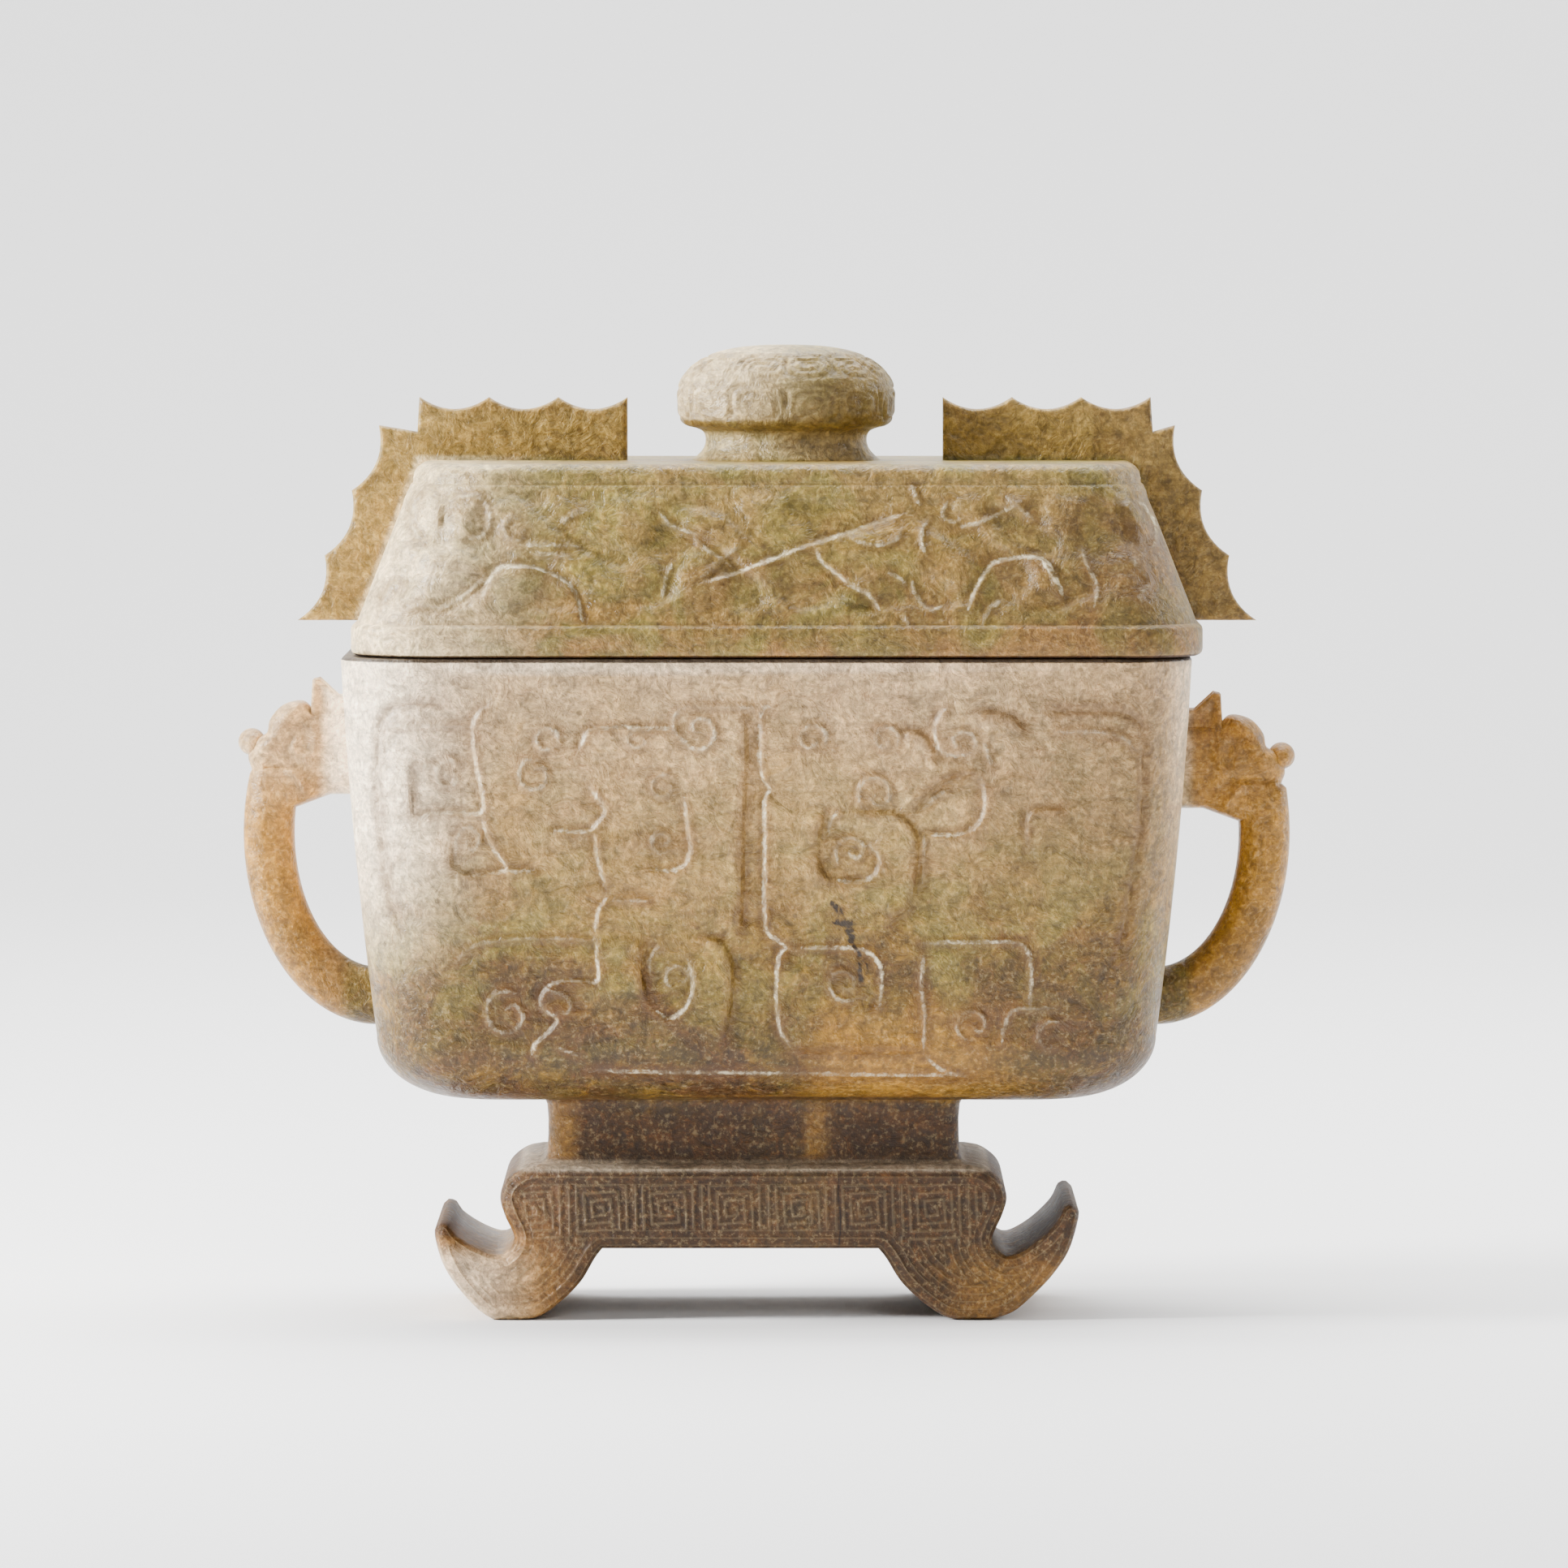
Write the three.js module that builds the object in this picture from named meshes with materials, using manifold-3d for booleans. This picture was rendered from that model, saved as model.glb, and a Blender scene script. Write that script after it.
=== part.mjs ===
// Lidded rectangular vase of carved jade on a scrolled stand, with a loose lid.
// Units are millimetres and +Z is up. The long side runs along X and the front faces -Y.
// The origin is on the surface that the vase stands on, under the middle of its whole length.
import * as THREE from 'three';
import { mergeVertices } from 'three/addons/utils/BufferGeometryUtils.js';
import Module from 'manifold-3d';

const wasm = await Module();
wasm.setup();

// Stand, from the surface upwards
const STAND_GAP = 13.1;
const STAND_SLAB = 15.4;
const STAND_DEPTH = 54;
const STAND_EDGE = 0.7;
const STAND_CENTRE = -2.4;
const SHOULDER_REACH = 46.4;
const SHOULDER_WAIST = 43.8;
const NOTCH_DROP = 1.2;
const SOLE_WIDTH = 6;
const HOOK_TIP = 2;
const LEFT_FOOT_INNER = 27.7;
const LEFT_FOOT_SOLE = 44.6;
const LEFT_FOOT_REACH = 58.4;
const LEFT_FOOT_TIP = 17.8;
const RIGHT_FOOT_INNER = 22.9;
const RIGHT_FOOT_SOLE = 40.6;
const RIGHT_FOOT_REACH = 59.6;
const RIGHT_FOOT_TIP = 21.2;

// Neck between the stand and the body
const NECK_HEIGHT = 11.9;
const NECK_LENGTH = 75.8;
const NECK_DEPTH = 43;
const NECK_CORNER = 3.5;
const NECK_FILLET = 1.2;

// Body, measured at the rim and just above its rolled bottom edge
const BODY_HEIGHT = 81.6;
const RIM_LENGTH = 155.2;
const RIM_DEPTH = 90;
const BASE_LENGTH = 142.6;
const BASE_DEPTH = 81;
const BODY_CORNER = 15.5;
const BOTTOM_ROLL = 12;
const BOTTOM_ROLL_REACH = 17;
const RIM_ROUND = 0.8;
const WALL = 7;
const FLOOR = 10;
const CAVITY_ROLL = 8;

// Lid: a collar, a sloping hood with a flat top, and a ledge that drops into the mouth
const COLLAR_HEIGHT = 6;
const COLLAR_STEP = 1;
const HOOD_HEIGHT = 29;
const HOOD_SLOPE_ENDS = 12.1;
const HOOD_SLOPE_FRONT = 10;
const LID_CORNER = 15;
const LID_TOP_ROUND = 2.4;
const LID_SHIFT = 1.9;
const LEDGE_DROP = 5;
const LEDGE_CLEARANCE = 0.6;
const LEDGE_WALL = 4.6;
const LID_ROOF = 8;

// Flanges: thin scalloped plates on the lid, in the plane of the handles
const FLANGE_AXIS = 3.4;
const FLANGE_THICKNESS = 4.6;
const FLANGE_EDGE = 0.4;
const FLANGE_HEIGHT = 11.6;
const FLANGE_GAP = 58.2;
const TOP_FLANGE_LENGTH = 38.4;
const SIDE_FLANGE_SHELF = 5;
const SIDE_FLANGE_STAND = 11;
const SCALLOPS = 3;
const SCALLOP_DIP = 2.2;

// Oval knob
const KNOB_AXIS = 3.6;
const KNOB_HEIGHT = 21.3;
const KNOB_LENGTH = 40.6;
const KNOB_FLATNESS = 0.68;
const KNOB_UNDERCUT = 5.6;
const KNOB_WAIST = 29.6;
const KNOB_FLARE = 35;

// Handles: an open loop that ends in the mouth of an animal's head
const HANDLE_DEPTH = 10.6;
const HANDLE_EDGE = 1.7;
const HANDLE_PROJECTION = 20.3;
const ARM_INSET = 1.1;
const LOOP_CENTRE_INSET = 5.6;
const LOOP_RISE = 35.6;
const LOOP_BOTTOM = 12.1;
const ARM_WIDTH = 9.4;
const ARM_FOOT = 10.6;
const LEFT_HEAD_DROP = 22;
const RIGHT_HEAD_DROP = 24.6;
const HEAD_HEIGHT = 16.8;
const HEAD_THROAT = 4.8;
const EYE_RADIUS = 3.1;
const NOSE_RADIUS = 2.5;
const EAR_THICKNESS = 2.8;
const EAR_SPREAD = 7.6;
const EAR_EDGE = 0.3;

// Low relief: raised bands, sunk a little into the wall that carries them
const RELIEF_HEIGHT = 0.7;
const RELIEF_SINK = 0.9;
const BAND_WIDTH = 2;
const LINE_WIDTH = 1.3;
const CHANNEL_DEPTH = 0.7;
const CHANNEL_WIDTH = 3;
const BAND_STEP = 4.4;
const CURL_STEPS = 7;

// Levels that follow from the sizes above
const standTop = STAND_GAP + STAND_SLAB;
const bodyBottom = standTop + NECK_HEIGHT;
const rim = bodyBottom + BODY_HEIGHT;
const collarTop = rim + COLLAR_HEIGHT;
const lidTop = collarTop + HOOD_HEIGHT;
const knobTop = lidTop + KNOB_HEIGHT;
const flangeTop = lidTop + FLANGE_HEIGHT;

// The collar is as long and as deep as the rim it rests on
const lidLength = RIM_LENGTH;
const lidDepth = RIM_DEPTH;
const lidTopLength = lidLength - 2 * HOOD_SLOPE_ENDS;
const lidTopDepth = lidDepth - 2 * HOOD_SLOPE_FRONT;

const feet = [
  {
    side: -1,
    inner: LEFT_FOOT_INNER,
    sole: LEFT_FOOT_SOLE,
    reach: LEFT_FOOT_REACH,
    tip: LEFT_FOOT_TIP,
  },
  {
    side: 1,
    inner: RIGHT_FOOT_INNER,
    sole: RIGHT_FOOT_SOLE,
    reach: RIGHT_FOOT_REACH,
    tip: RIGHT_FOOT_TIP,
  },
];

// Solids

function solidFrom(geometry) {
  const bare = geometry.clone();
  bare.deleteAttribute('normal');
  bare.deleteAttribute('uv');
  const merged = mergeVertices(bare, 1e-4);
  return new wasm.Manifold(new wasm.Mesh({
    numProp: 3,
    vertProperties: new Float32Array(merged.attributes.position.array),
    triVerts: new Uint32Array(merged.index.array),
  }));
}

function meshFrom(solid, name, material) {
  const { vertProperties, triVerts, numProp } = solid.getMesh();
  const position = new Float32Array((vertProperties.length / numProp) * 3);
  for (let i = 0; i < position.length / 3; i++) {
    position.set(vertProperties.subarray(i * numProp, i * numProp + 3), i * 3);
  }
  const geometry = new THREE.BufferGeometry();
  geometry.setAttribute('position', new THREE.BufferAttribute(position, 3));
  geometry.setIndex(new THREE.BufferAttribute(new Uint32Array(triVerts), 1));
  const flat = geometry.toNonIndexed();
  flat.computeVertexNormals();
  const mesh = new THREE.Mesh(flat, material);
  mesh.name = name;
  return mesh;
}

function joined(solids) {
  return solids.reduce((whole, solid) => whole.add(solid));
}

// Closes a stack of equally long rings into a solid: walls between rings, a fan over each end.
function loft(rings) {
  const count = rings[0].length;
  const position = rings.flat().flatMap((point) => [point.x, point.y, point.z]);
  const index = [];
  for (let ring = 0; ring < rings.length - 1; ring++) {
    for (let i = 0; i < count; i++) {
      const a = ring * count + i;
      const b = ring * count + ((i + 1) % count);
      index.push(a, b, b + count, a, b + count, a + count);
    }
  }
  const last = (rings.length - 1) * count;
  for (let i = 1; i < count - 1; i++) {
    index.push(0, i + 1, i);
    index.push(last, last + i, last + i + 1);
  }
  const geometry = new THREE.BufferGeometry();
  geometry.setAttribute('position', new THREE.Float32BufferAttribute(position, 3));
  geometry.setIndex(index);
  return solidFrom(geometry);
}

// A rounded rectangle at height z, seen from above, counter-clockwise.
function roundedRing(halfLength, halfDepth, corner, z, centre = 0) {
  const steps = 6;
  const radius = Math.max(0.5, Math.min(corner, halfLength - 0.5, halfDepth - 0.5));
  const ring = [];
  for (let quarter = 0; quarter < 4; quarter++) {
    const signX = quarter === 0 || quarter === 3 ? 1 : -1;
    const signY = quarter < 2 ? 1 : -1;
    for (let step = 0; step <= steps; step++) {
      const angle = (quarter + step / steps) * Math.PI / 2;
      const x = signX * (halfLength - radius) + radius * Math.cos(angle);
      const y = signY * (halfDepth - radius) + radius * Math.sin(angle);
      ring.push(new THREE.Vector3(centre + x, y, z));
    }
  }
  return ring;
}

// A plate drawn in x and z, standing in the plane y = 0 with its edges eased by the given bevel.
function standingPlate(shape, thickness, edge, curveSegments = 6) {
  const plate = new THREE.ExtrudeGeometry(shape, {
    depth: thickness - 2 * edge,
    bevelEnabled: true,
    bevelThickness: edge,
    bevelSize: edge,
    bevelOffset: -edge,
    bevelSegments: edge > 1 ? 2 : 1,
    curveSegments,
  });
  plate.translate(0, 0, edge - thickness / 2);
  plate.rotateX(Math.PI / 2);
  return solidFrom(plate);
}

function mirroredInX(solid) {
  return solid.mirror([1, 0, 0]);
}

function ball(radius, x, y, z, stretch = [1, 1, 1]) {
  const sphere = new THREE.SphereGeometry(radius, 10, 7);
  sphere.scale(...stretch);
  sphere.translate(x, y, z);
  return solidFrom(sphere);
}

// Profiles of the body and the lid

function mix(from, to, share) {
  return from + (to - from) * share;
}

// How far a rounded edge has drawn in at a height above its lowest line.
function rolledIn(radius, height, reach = radius) {
  const left = Math.max(0, radius - height) / radius;
  return reach * (1 - Math.sqrt(Math.max(0, 1 - left * left)));
}

function bottomRoll(z) {
  return rolledIn(BOTTOM_ROLL, z - bodyBottom, BOTTOM_ROLL_REACH);
}

// The corners stay round under the body, so they tighten half as fast as the walls draw in.
function bodyCorner(z) {
  return BODY_CORNER - bottomRoll(z) / 2;
}

function bodyHalf(rimSize, baseSize, z) {
  const share = (z - bodyBottom - BOTTOM_ROLL) / (BODY_HEIGHT - BOTTOM_ROLL);
  const straight = mix(baseSize, rimSize, Math.max(0, share)) / 2;
  return straight - bottomRoll(z);
}

function bodyHalfLength(z) {
  return bodyHalf(RIM_LENGTH, BASE_LENGTH, z);
}

function bodyHalfDepth(z) {
  return bodyHalf(RIM_DEPTH, BASE_DEPTH, z);
}

function bodyRing(z, inset = 0) {
  return roundedRing(bodyHalfLength(z) - inset, bodyHalfDepth(z) - inset, bodyCorner(z) - inset, z);
}

function hoodHalf(collarSize, topSize, z) {
  const share = (z - collarTop) / HOOD_HEIGHT;
  return mix(collarSize / 2 - COLLAR_STEP, topSize / 2, share);
}

function hoodHalfDepth(z) {
  return hoodHalf(lidDepth, lidTopDepth, z);
}

function hoodHalfLength(z) {
  return hoodHalf(lidLength, lidTopLength, z);
}

// Relief drawn on a panel: x runs from -100 to 100 over the half length, z from 0 to 100 upwards

// How far in front of the middle the outer wall is, flat in the middle and turning in at the corners.
function wallReach(halfLength, halfDepth, corner, x) {
  const intoCorner = Math.min(corner, Math.max(0, Math.abs(x) - (halfLength - corner)));
  return halfDepth - corner + Math.sqrt(corner * corner - intoCorner * intoCorner);
}

const bodyPanel = {
  place: (x, z) => [x / 100 * RIM_LENGTH / 2, bodyBottom + z / 100 * BODY_HEIGHT],
  wall: (x, z) => wallReach(bodyHalfLength(z), bodyHalfDepth(z), bodyCorner(z), x),
};

const lidPanel = {
  place: (x, z) => [LID_SHIFT + x / 100 * lidLength / 2, collarTop + z / 100 * HOOD_HEIGHT],
  wall: (x, z) => wallReach(hoodHalfLength(z), hoodHalfDepth(z), LID_CORNER, x - LID_SHIFT),
};

// A band follows a smooth line through its points; a curl turns in at its end about a centre.
function bandLine(panel, { through, curl }) {
  const points = through.map(([x, z]) => new THREE.Vector2(...panel.place(x, z)));
  const spline = new THREE.SplineCurve(points);
  const steps = Math.max(2, Math.round(spline.getLength() / BAND_STEP));
  const line = spline.getSpacedPoints(steps);
  if (curl) {
    const [x, z, turns] = curl;
    const centre = new THREE.Vector2(...panel.place(x, z));
    const arm = line.at(-1).clone().sub(centre);
    const radius = arm.length();
    const curlSteps = Math.max(4, Math.ceil(Math.abs(turns) * CURL_STEPS));
    for (let step = 1; step <= curlSteps; step++) {
      const share = step / curlSteps;
      const angle = arm.angle() + turns * 2 * Math.PI * share;
      const reach = mix(radius, radius * 0.3, share);
      line.push(new THREE.Vector2(Math.cos(angle), Math.sin(angle)).multiplyScalar(reach).add(centre));
    }
  }
  return line;
}

function bandOutline(line, width) {
  const left = [];
  const right = [];
  line.forEach((point, i) => {
    const before = line[Math.max(0, i - 1)];
    const after = line[Math.min(line.length - 1, i + 1)];
    const along = after.clone().sub(before).normalize();
    const across = new THREE.Vector2(-along.y, along.x).multiplyScalar(width / 2);
    left.push(point.clone().add(across));
    right.unshift(point.clone().sub(across));
  });
  return new THREE.Shape([...left, ...right]);
}

// Lays a flat outline on the front wall, from one depth below the surface to a height above it.
function onFront(panel, shape, sink, rise) {
  const slab = new THREE.ExtrudeGeometry(shape, { depth: sink + rise, bevelEnabled: false });
  const position = slab.attributes.position;
  for (let i = 0; i < position.count; i++) {
    const x = position.getX(i);
    const z = position.getY(i);
    const lift = position.getZ(i) - sink;
    position.setXYZ(i, x, -(panel.wall(x, z) + lift), z);
  }
  return solidFrom(slab);
}

function reliefBand(panel, band) {
  const outline = bandOutline(bandLine(panel, band), band.thin ? LINE_WIDTH : BAND_WIDTH);
  return onFront(panel, outline, RELIEF_SINK, RELIEF_HEIGHT);
}

// Two facing beasts of scrolls, left and right of a sunk channel, inside a thin frame
const LEFT_SCROLLS = [
  { thin: true, through: [[-66, 89.8], [-86, 89.6], [-90.6, 84], [-91, 65], [-89, 50], [-86, 37]] },
  { through: [[-65.5, 88.8], [-67.5, 85], [-66.6, 70], [-73, 65.8], [-81, 66.4], [-82, 75]], curl: [-76, 73, -0.8] },
  { through: [[-54.7, 53], [-63, 53], [-72, 53.5], [-73, 61]], curl: [-68.5, 59, -0.8] },
  { through: [[-22, 84.9], [-38, 84.9], [-43, 81], [-50, 79], [-58, 77]], curl: [-54.5, 73, 0.9] },
  { through: [[-4, 89.2], [-15, 89.2], [-21, 87], [-20, 82]], curl: [-15.5, 83.6, 0.9] },
  { through: [[-51.5, 61], [-42, 61.3], [-38.4, 66.3], [-42, 71.2], [-48, 71.4]] },
  { through: [[-39.9, 58.6], [-39.6, 53], [-37.1, 46.6], [-39.6, 41]] },
  { through: [[-18.6, 66], [-18.2, 58], [-21, 53.4], [-28, 54]], curl: [-25, 58.6, -0.8] },
  { through: [[-25, 36.4], [-28, 32], [-26.5, 24], [-22, 20.2], [-17.6, 24.5]], curl: [-21.5, 28.5, 0.8] },
  { through: [[-14, 38], [-10, 36], [-8.5, 30], [-8.7, 14.2]] },
  { through: [[-60, 30], [-60.5, 36], [-52, 37.6], [-42, 37], [-40, 29.5], [-49, 27.6], [-53, 22.8], [-50, 17]] },
];
const RIGHT_SCROLLS = [
  { thin: true, through: [[65.5, 88.5], [83, 88.3], [87.6, 84], [88.4, 69], [87, 57], [83, 33]] },
  { through: [[2, 87.5], [2.2, 76], [4.6, 71.6], [2.6, 66], [2.6, 42], [7.4, 35.4], [5.2, 29], [6.4, 14.4], [33, 12.4]] },
  { through: [[39, 78.6], [35.4, 83.4], [29.5, 85.4]], curl: [27.8, 82, 0.8] },
  { through: [[43, 88.8], [39, 84], [40.4, 79], [46, 78.4]], curl: [44.6, 82.4, 0.8] },
  { through: [[34.3, 67.8], [40, 73], [49, 74.4], [52, 70], [50, 64], [45, 61], [38, 60.8]] },
  { through: [[13, 57], [14, 64.6], [22, 66], [32, 65], [34.8, 59], [34.4, 50], [30.5, 43]] },
  { through: [[13.4, 51], [19.5, 49.4], [25.4, 53.6]], curl: [20.5, 56.4, 0.8] },
  { through: [[12.5, 35.4], [22, 35], [26.3, 30], [26, 22]], curl: [19, 25.5, -0.7] },
  { through: [[38, 12], [37, 35.6], [48, 37], [59, 35.6], [61.7, 30], [61.4, 22.6], [55, 17]] },
];
const BOTTOM_LINE = { thin: true, through: [[-40.9, 7.4], [3, 7.2], [47.5, 6.8]] };
const CHANNEL = { through: [[-3.4, 80], [-3.4, 60], [-3.4, 42]] };

// Cloud and wing strokes on the hood
const LID_STROKES = [
  { through: [[-81.3, 52], [-85, 60], [-85, 76], [-80.9, 83.5]] },
  { through: [[-69.6, 27.8], [-65.4, 36], [-57, 36.4], [-48.7, 28.3], [-45.3, 13], [-44.6, 4]] },
  { through: [[-84.3, 14.6], [-77.5, 13.6], [-72.2, 21.7], [-71, 27.4]] },
  { thin: true, through: [[-54, 60.2], [-46, 70.3]] },
  { through: [[-32.6, 52], [-24.1, 57.2], [-28.3, 74]] },
  { thin: true, through: [[-29.8, 40.9], [-12.7, 40.9], [0.5, 44], [10, 55], [28, 69.3]] },
  { thin: true, through: [[8.1, 45], [10.4, 34.3], [17.6, 24.7], [23.6, 18], [26.5, 8]] },
  { through: [[38.4, 4], [43.7, 14.6], [47.5, 34.8], [52.8, 40.9], [63, 40.9], [67.2, 26]] },
  { through: [[70.5, 52], [77.8, 34], [82.6, 12]] },
  { through: [[81.4, 77], [84.6, 61], [85, 45], [81, 37]] },
  { through: [[33.7, 71.3], [34.6, 46]] },
  { through: [[31.2, 29.8], [33, 14.6], [37.4, 9]] },
];

// Stand: one outline drawn from the front, with scrolled feet whose tips turn up

// Shoulder, notch and upturned tip, from the neck down to the outer edge of the sole.
function outerFootPoints({ sole, reach, tip }) {
  const notch = STAND_GAP - NOTCH_DROP;
  const hookX = (share) => mix(SHOULDER_WAIST + 3.6, reach, share);
  const hookZ = (share) => mix(notch, tip, share);
  return [
    [NECK_LENGTH / 2 + 1.6, standTop],
    [NECK_LENGTH / 2 + 4.6, standTop - 0.7],
    [SHOULDER_REACH - 1, standTop - 3],
    [SHOULDER_REACH, standTop - 6],
    [SHOULDER_REACH - 0.9, standTop - 9.4],
    [SHOULDER_WAIST, STAND_GAP + 2],
    [SHOULDER_WAIST + 1.3, notch + 0.8],
    [SHOULDER_WAIST + 3.6, notch],
    [hookX(0.34), hookZ(0.24)],
    [hookX(0.66), hookZ(0.64)],
    [reach - HOOK_TIP * 1.3, tip - HOOK_TIP * 0.2],
    [reach - HOOK_TIP * 0.55, tip],
    [reach - HOOK_TIP * 0.1, tip - HOOK_TIP * 0.4],
    [reach, tip - HOOK_TIP * 1.2],
    [mix(sole, reach, 0.91), tip * 0.61],
    [mix(sole, reach, 0.76), tip * 0.4],
    [mix(sole, reach, 0.56), tip * 0.21],
    [mix(sole, reach, 0.37), tip * 0.07],
  ];
}

// Inner side of the foot, from the inner edge of the sole up to the underside of the slab.
function innerFootPoints({ inner, sole }) {
  const heel = sole - SOLE_WIDTH / 2;
  return [
    [heel, 0],
    [mix(inner, heel, 0.8), STAND_GAP * 0.06],
    [mix(inner, heel, 0.53), STAND_GAP * 0.27],
    [mix(inner, heel, 0.28), STAND_GAP * 0.54],
    [mix(inner, heel, 0.1), STAND_GAP * 0.86],
    [inner, STAND_GAP],
  ];
}

function standHalfOutline(foot) {
  const place = ([x, z]) => new THREE.Vector2(STAND_CENTRE + foot.side * x, z);
  const outer = new THREE.SplineCurve(outerFootPoints(foot).map(place));
  const inner = new THREE.SplineCurve(innerFootPoints(foot).map(place));
  const soleEdge = place([foot.sole + SOLE_WIDTH / 2, 0]);
  return [...outer.getPoints(26), soleEdge, ...inner.getPoints(7)];
}

function standSolid() {
  const [left, right] = feet.map(standHalfOutline);
  return standingPlate(new THREE.Shape([...left, ...right.reverse()]), STAND_DEPTH, STAND_EDGE);
}

function neckSolid() {
  const levels = [
    [standTop - 1, NECK_FILLET],
    [standTop, NECK_FILLET],
    [standTop + NECK_FILLET, 0],
    [bodyBottom + 1, 0],
  ];
  return loft(levels.map(([z, grow]) => (
    roundedRing(NECK_LENGTH / 2 + grow, NECK_DEPTH / 2 + grow, NECK_CORNER, z, STAND_CENTRE)
  )));
}

// Handle: the loop is two ellipses about one centre, and the head is drawn from its mouth up

// Places on the head: x from 0 at the rim's side to 1 at the nose, z from 0 at the mouth to 1 at the ear's tip
const HEAD_TOP = [
  [0.867, -0.01], [0.9, 0.13], [0.85, 0.31], [0.73, 0.39], [0.7, 0.54], [0.59, 0.69], [0.41, 0.74], [0.31, 0.65],
];
const EAR = [[0.08, 0.81], [0.25, 1], [0.31, 0.98], [0.33, 0.56]];
const EYE = [0.56, 0.51];
const NOSE = 0.29;
const THROAT_END = 0.15;

function handleSolid(headDrop) {
  const mouth = rim - headDrop;
  const throat = mouth - HEAD_THROAT;
  const headPoint = ([x, z]) => (
    new THREE.Vector2(RIM_LENGTH / 2 + x * HANDLE_PROJECTION, mouth + z * HEAD_HEIGHT)
  );
  const rootX = bodyHalfLength(mouth) - WALL / 2;
  const bottom = bodyBottom + LOOP_BOTTOM;
  const footX = bodyHalfLength(bottom) - WALL / 2;
  const centreX = RIM_LENGTH / 2 - LOOP_CENTRE_INSET;
  const centreZ = bottom + LOOP_RISE;
  const outerX = HANDLE_PROJECTION - ARM_INSET + LOOP_CENTRE_INSET;
  const innerX = outerX - ARM_WIDTH;
  const innerZ = LOOP_RISE - ARM_FOOT;
  const endAngle = (rise, radius) => Math.asin(Math.min(0.9, (rise - centreZ) / radius));
  const outerEnd = endAngle(mouth - HEAD_HEIGHT * 0.06, LOOP_RISE);
  const innerEnd = endAngle(throat - HEAD_THROAT / 2, innerZ);
  const outer = new THREE.EllipseCurve(centreX, centreZ, outerX, LOOP_RISE, -Math.PI / 2, outerEnd);
  const inner = new THREE.EllipseCurve(centreX, centreZ, innerX, innerZ, innerEnd, -Math.PI / 2, true);
  const outline = [
    new THREE.Vector2(footX, bottom),
    ...outer.getPoints(14),
    ...HEAD_TOP.map(headPoint),
    new THREE.Vector2(rootX, headPoint(HEAD_TOP.at(-1)).y),
    new THREE.Vector2(rootX, throat),
    new THREE.Vector2(headPoint([THROAT_END, 0]).x, throat),
    ...inner.getPoints(12),
    new THREE.Vector2(footX, centreZ - innerZ),
  ];
  const ear = new THREE.Shape([
    new THREE.Vector2(rootX, headPoint(EAR[0]).y),
    ...EAR.map(headPoint),
    new THREE.Vector2(rootX, headPoint([0, 0.25]).y),
  ]);
  const eye = headPoint(EYE);
  const nose = headPoint([1, NOSE]);
  const parts = [standingPlate(new THREE.Shape(outline), HANDLE_DEPTH, HANDLE_EDGE)];
  for (const face of [-1, 1]) {
    const blade = standingPlate(ear, EAR_THICKNESS, EAR_EDGE);
    parts.push(blade.translate([0, face * (EAR_SPREAD - EAR_THICKNESS) / 2, 0]));
    parts.push(ball(EYE_RADIUS, eye.x, face * HANDLE_DEPTH * 0.36, eye.y, [1.05, 0.8, 1]));
  }
  parts.push(ball(NOSE_RADIUS, nose.x - NOSE_RADIUS, 0, nose.y, [1, 1.7, 1]));
  return joined(parts);
}

// Vessel: stand, neck, body and handles are one stone

function bodySolid() {
  const rolled = [0, 0.08, 0.3, 0.62, 1].map((share) => bodyBottom + share * BOTTOM_ROLL);
  const rings = rolled.map((z) => bodyRing(z));
  rings.push(bodyRing(rim - RIM_ROUND));
  rings.push(bodyRing(rim, RIM_ROUND));
  return loft(rings);
}

function cavitySolid() {
  const floor = bodyBottom + FLOOR;
  const levels = [0, 0.3, 1].map((share) => floor + share * CAVITY_ROLL);
  const rings = levels.map((z) => {
    const inset = WALL + rolledIn(CAVITY_ROLL, z - floor);
    return bodyRing(z, inset);
  });
  rings.push(bodyRing(rim, WALL));
  rings.push(bodyRing(rim + 1, WALL));
  return loft(rings);
}

function vesselSolid() {
  const front = joined([...LEFT_SCROLLS, ...RIGHT_SCROLLS, BOTTOM_LINE].map((band) => reliefBand(bodyPanel, band)));
  const plainer = LEFT_SCROLLS.filter((band) => band.thin || band.curl);
  const half = joined([...plainer, BOTTOM_LINE].map((band) => reliefBand(bodyPanel, band)));
  const back = joined([half, mirroredInX(half)]).rotate([0, 0, 180]);
  const channel = onFront(
    bodyPanel,
    bandOutline(bandLine(bodyPanel, CHANNEL), CHANNEL_WIDTH),
    CHANNEL_DEPTH,
    RELIEF_HEIGHT + 1,
  );
  const outside = joined([
    bodySolid(),
    neckSolid(),
    standSolid(),
    handleSolid(RIGHT_HEAD_DROP),
    mirroredInX(handleSolid(LEFT_HEAD_DROP)),
    front,
    back,
  ]);
  return outside.subtract(channel).subtract(cavitySolid());
}

// Lid: hood, knob and flanges are one stone

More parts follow.
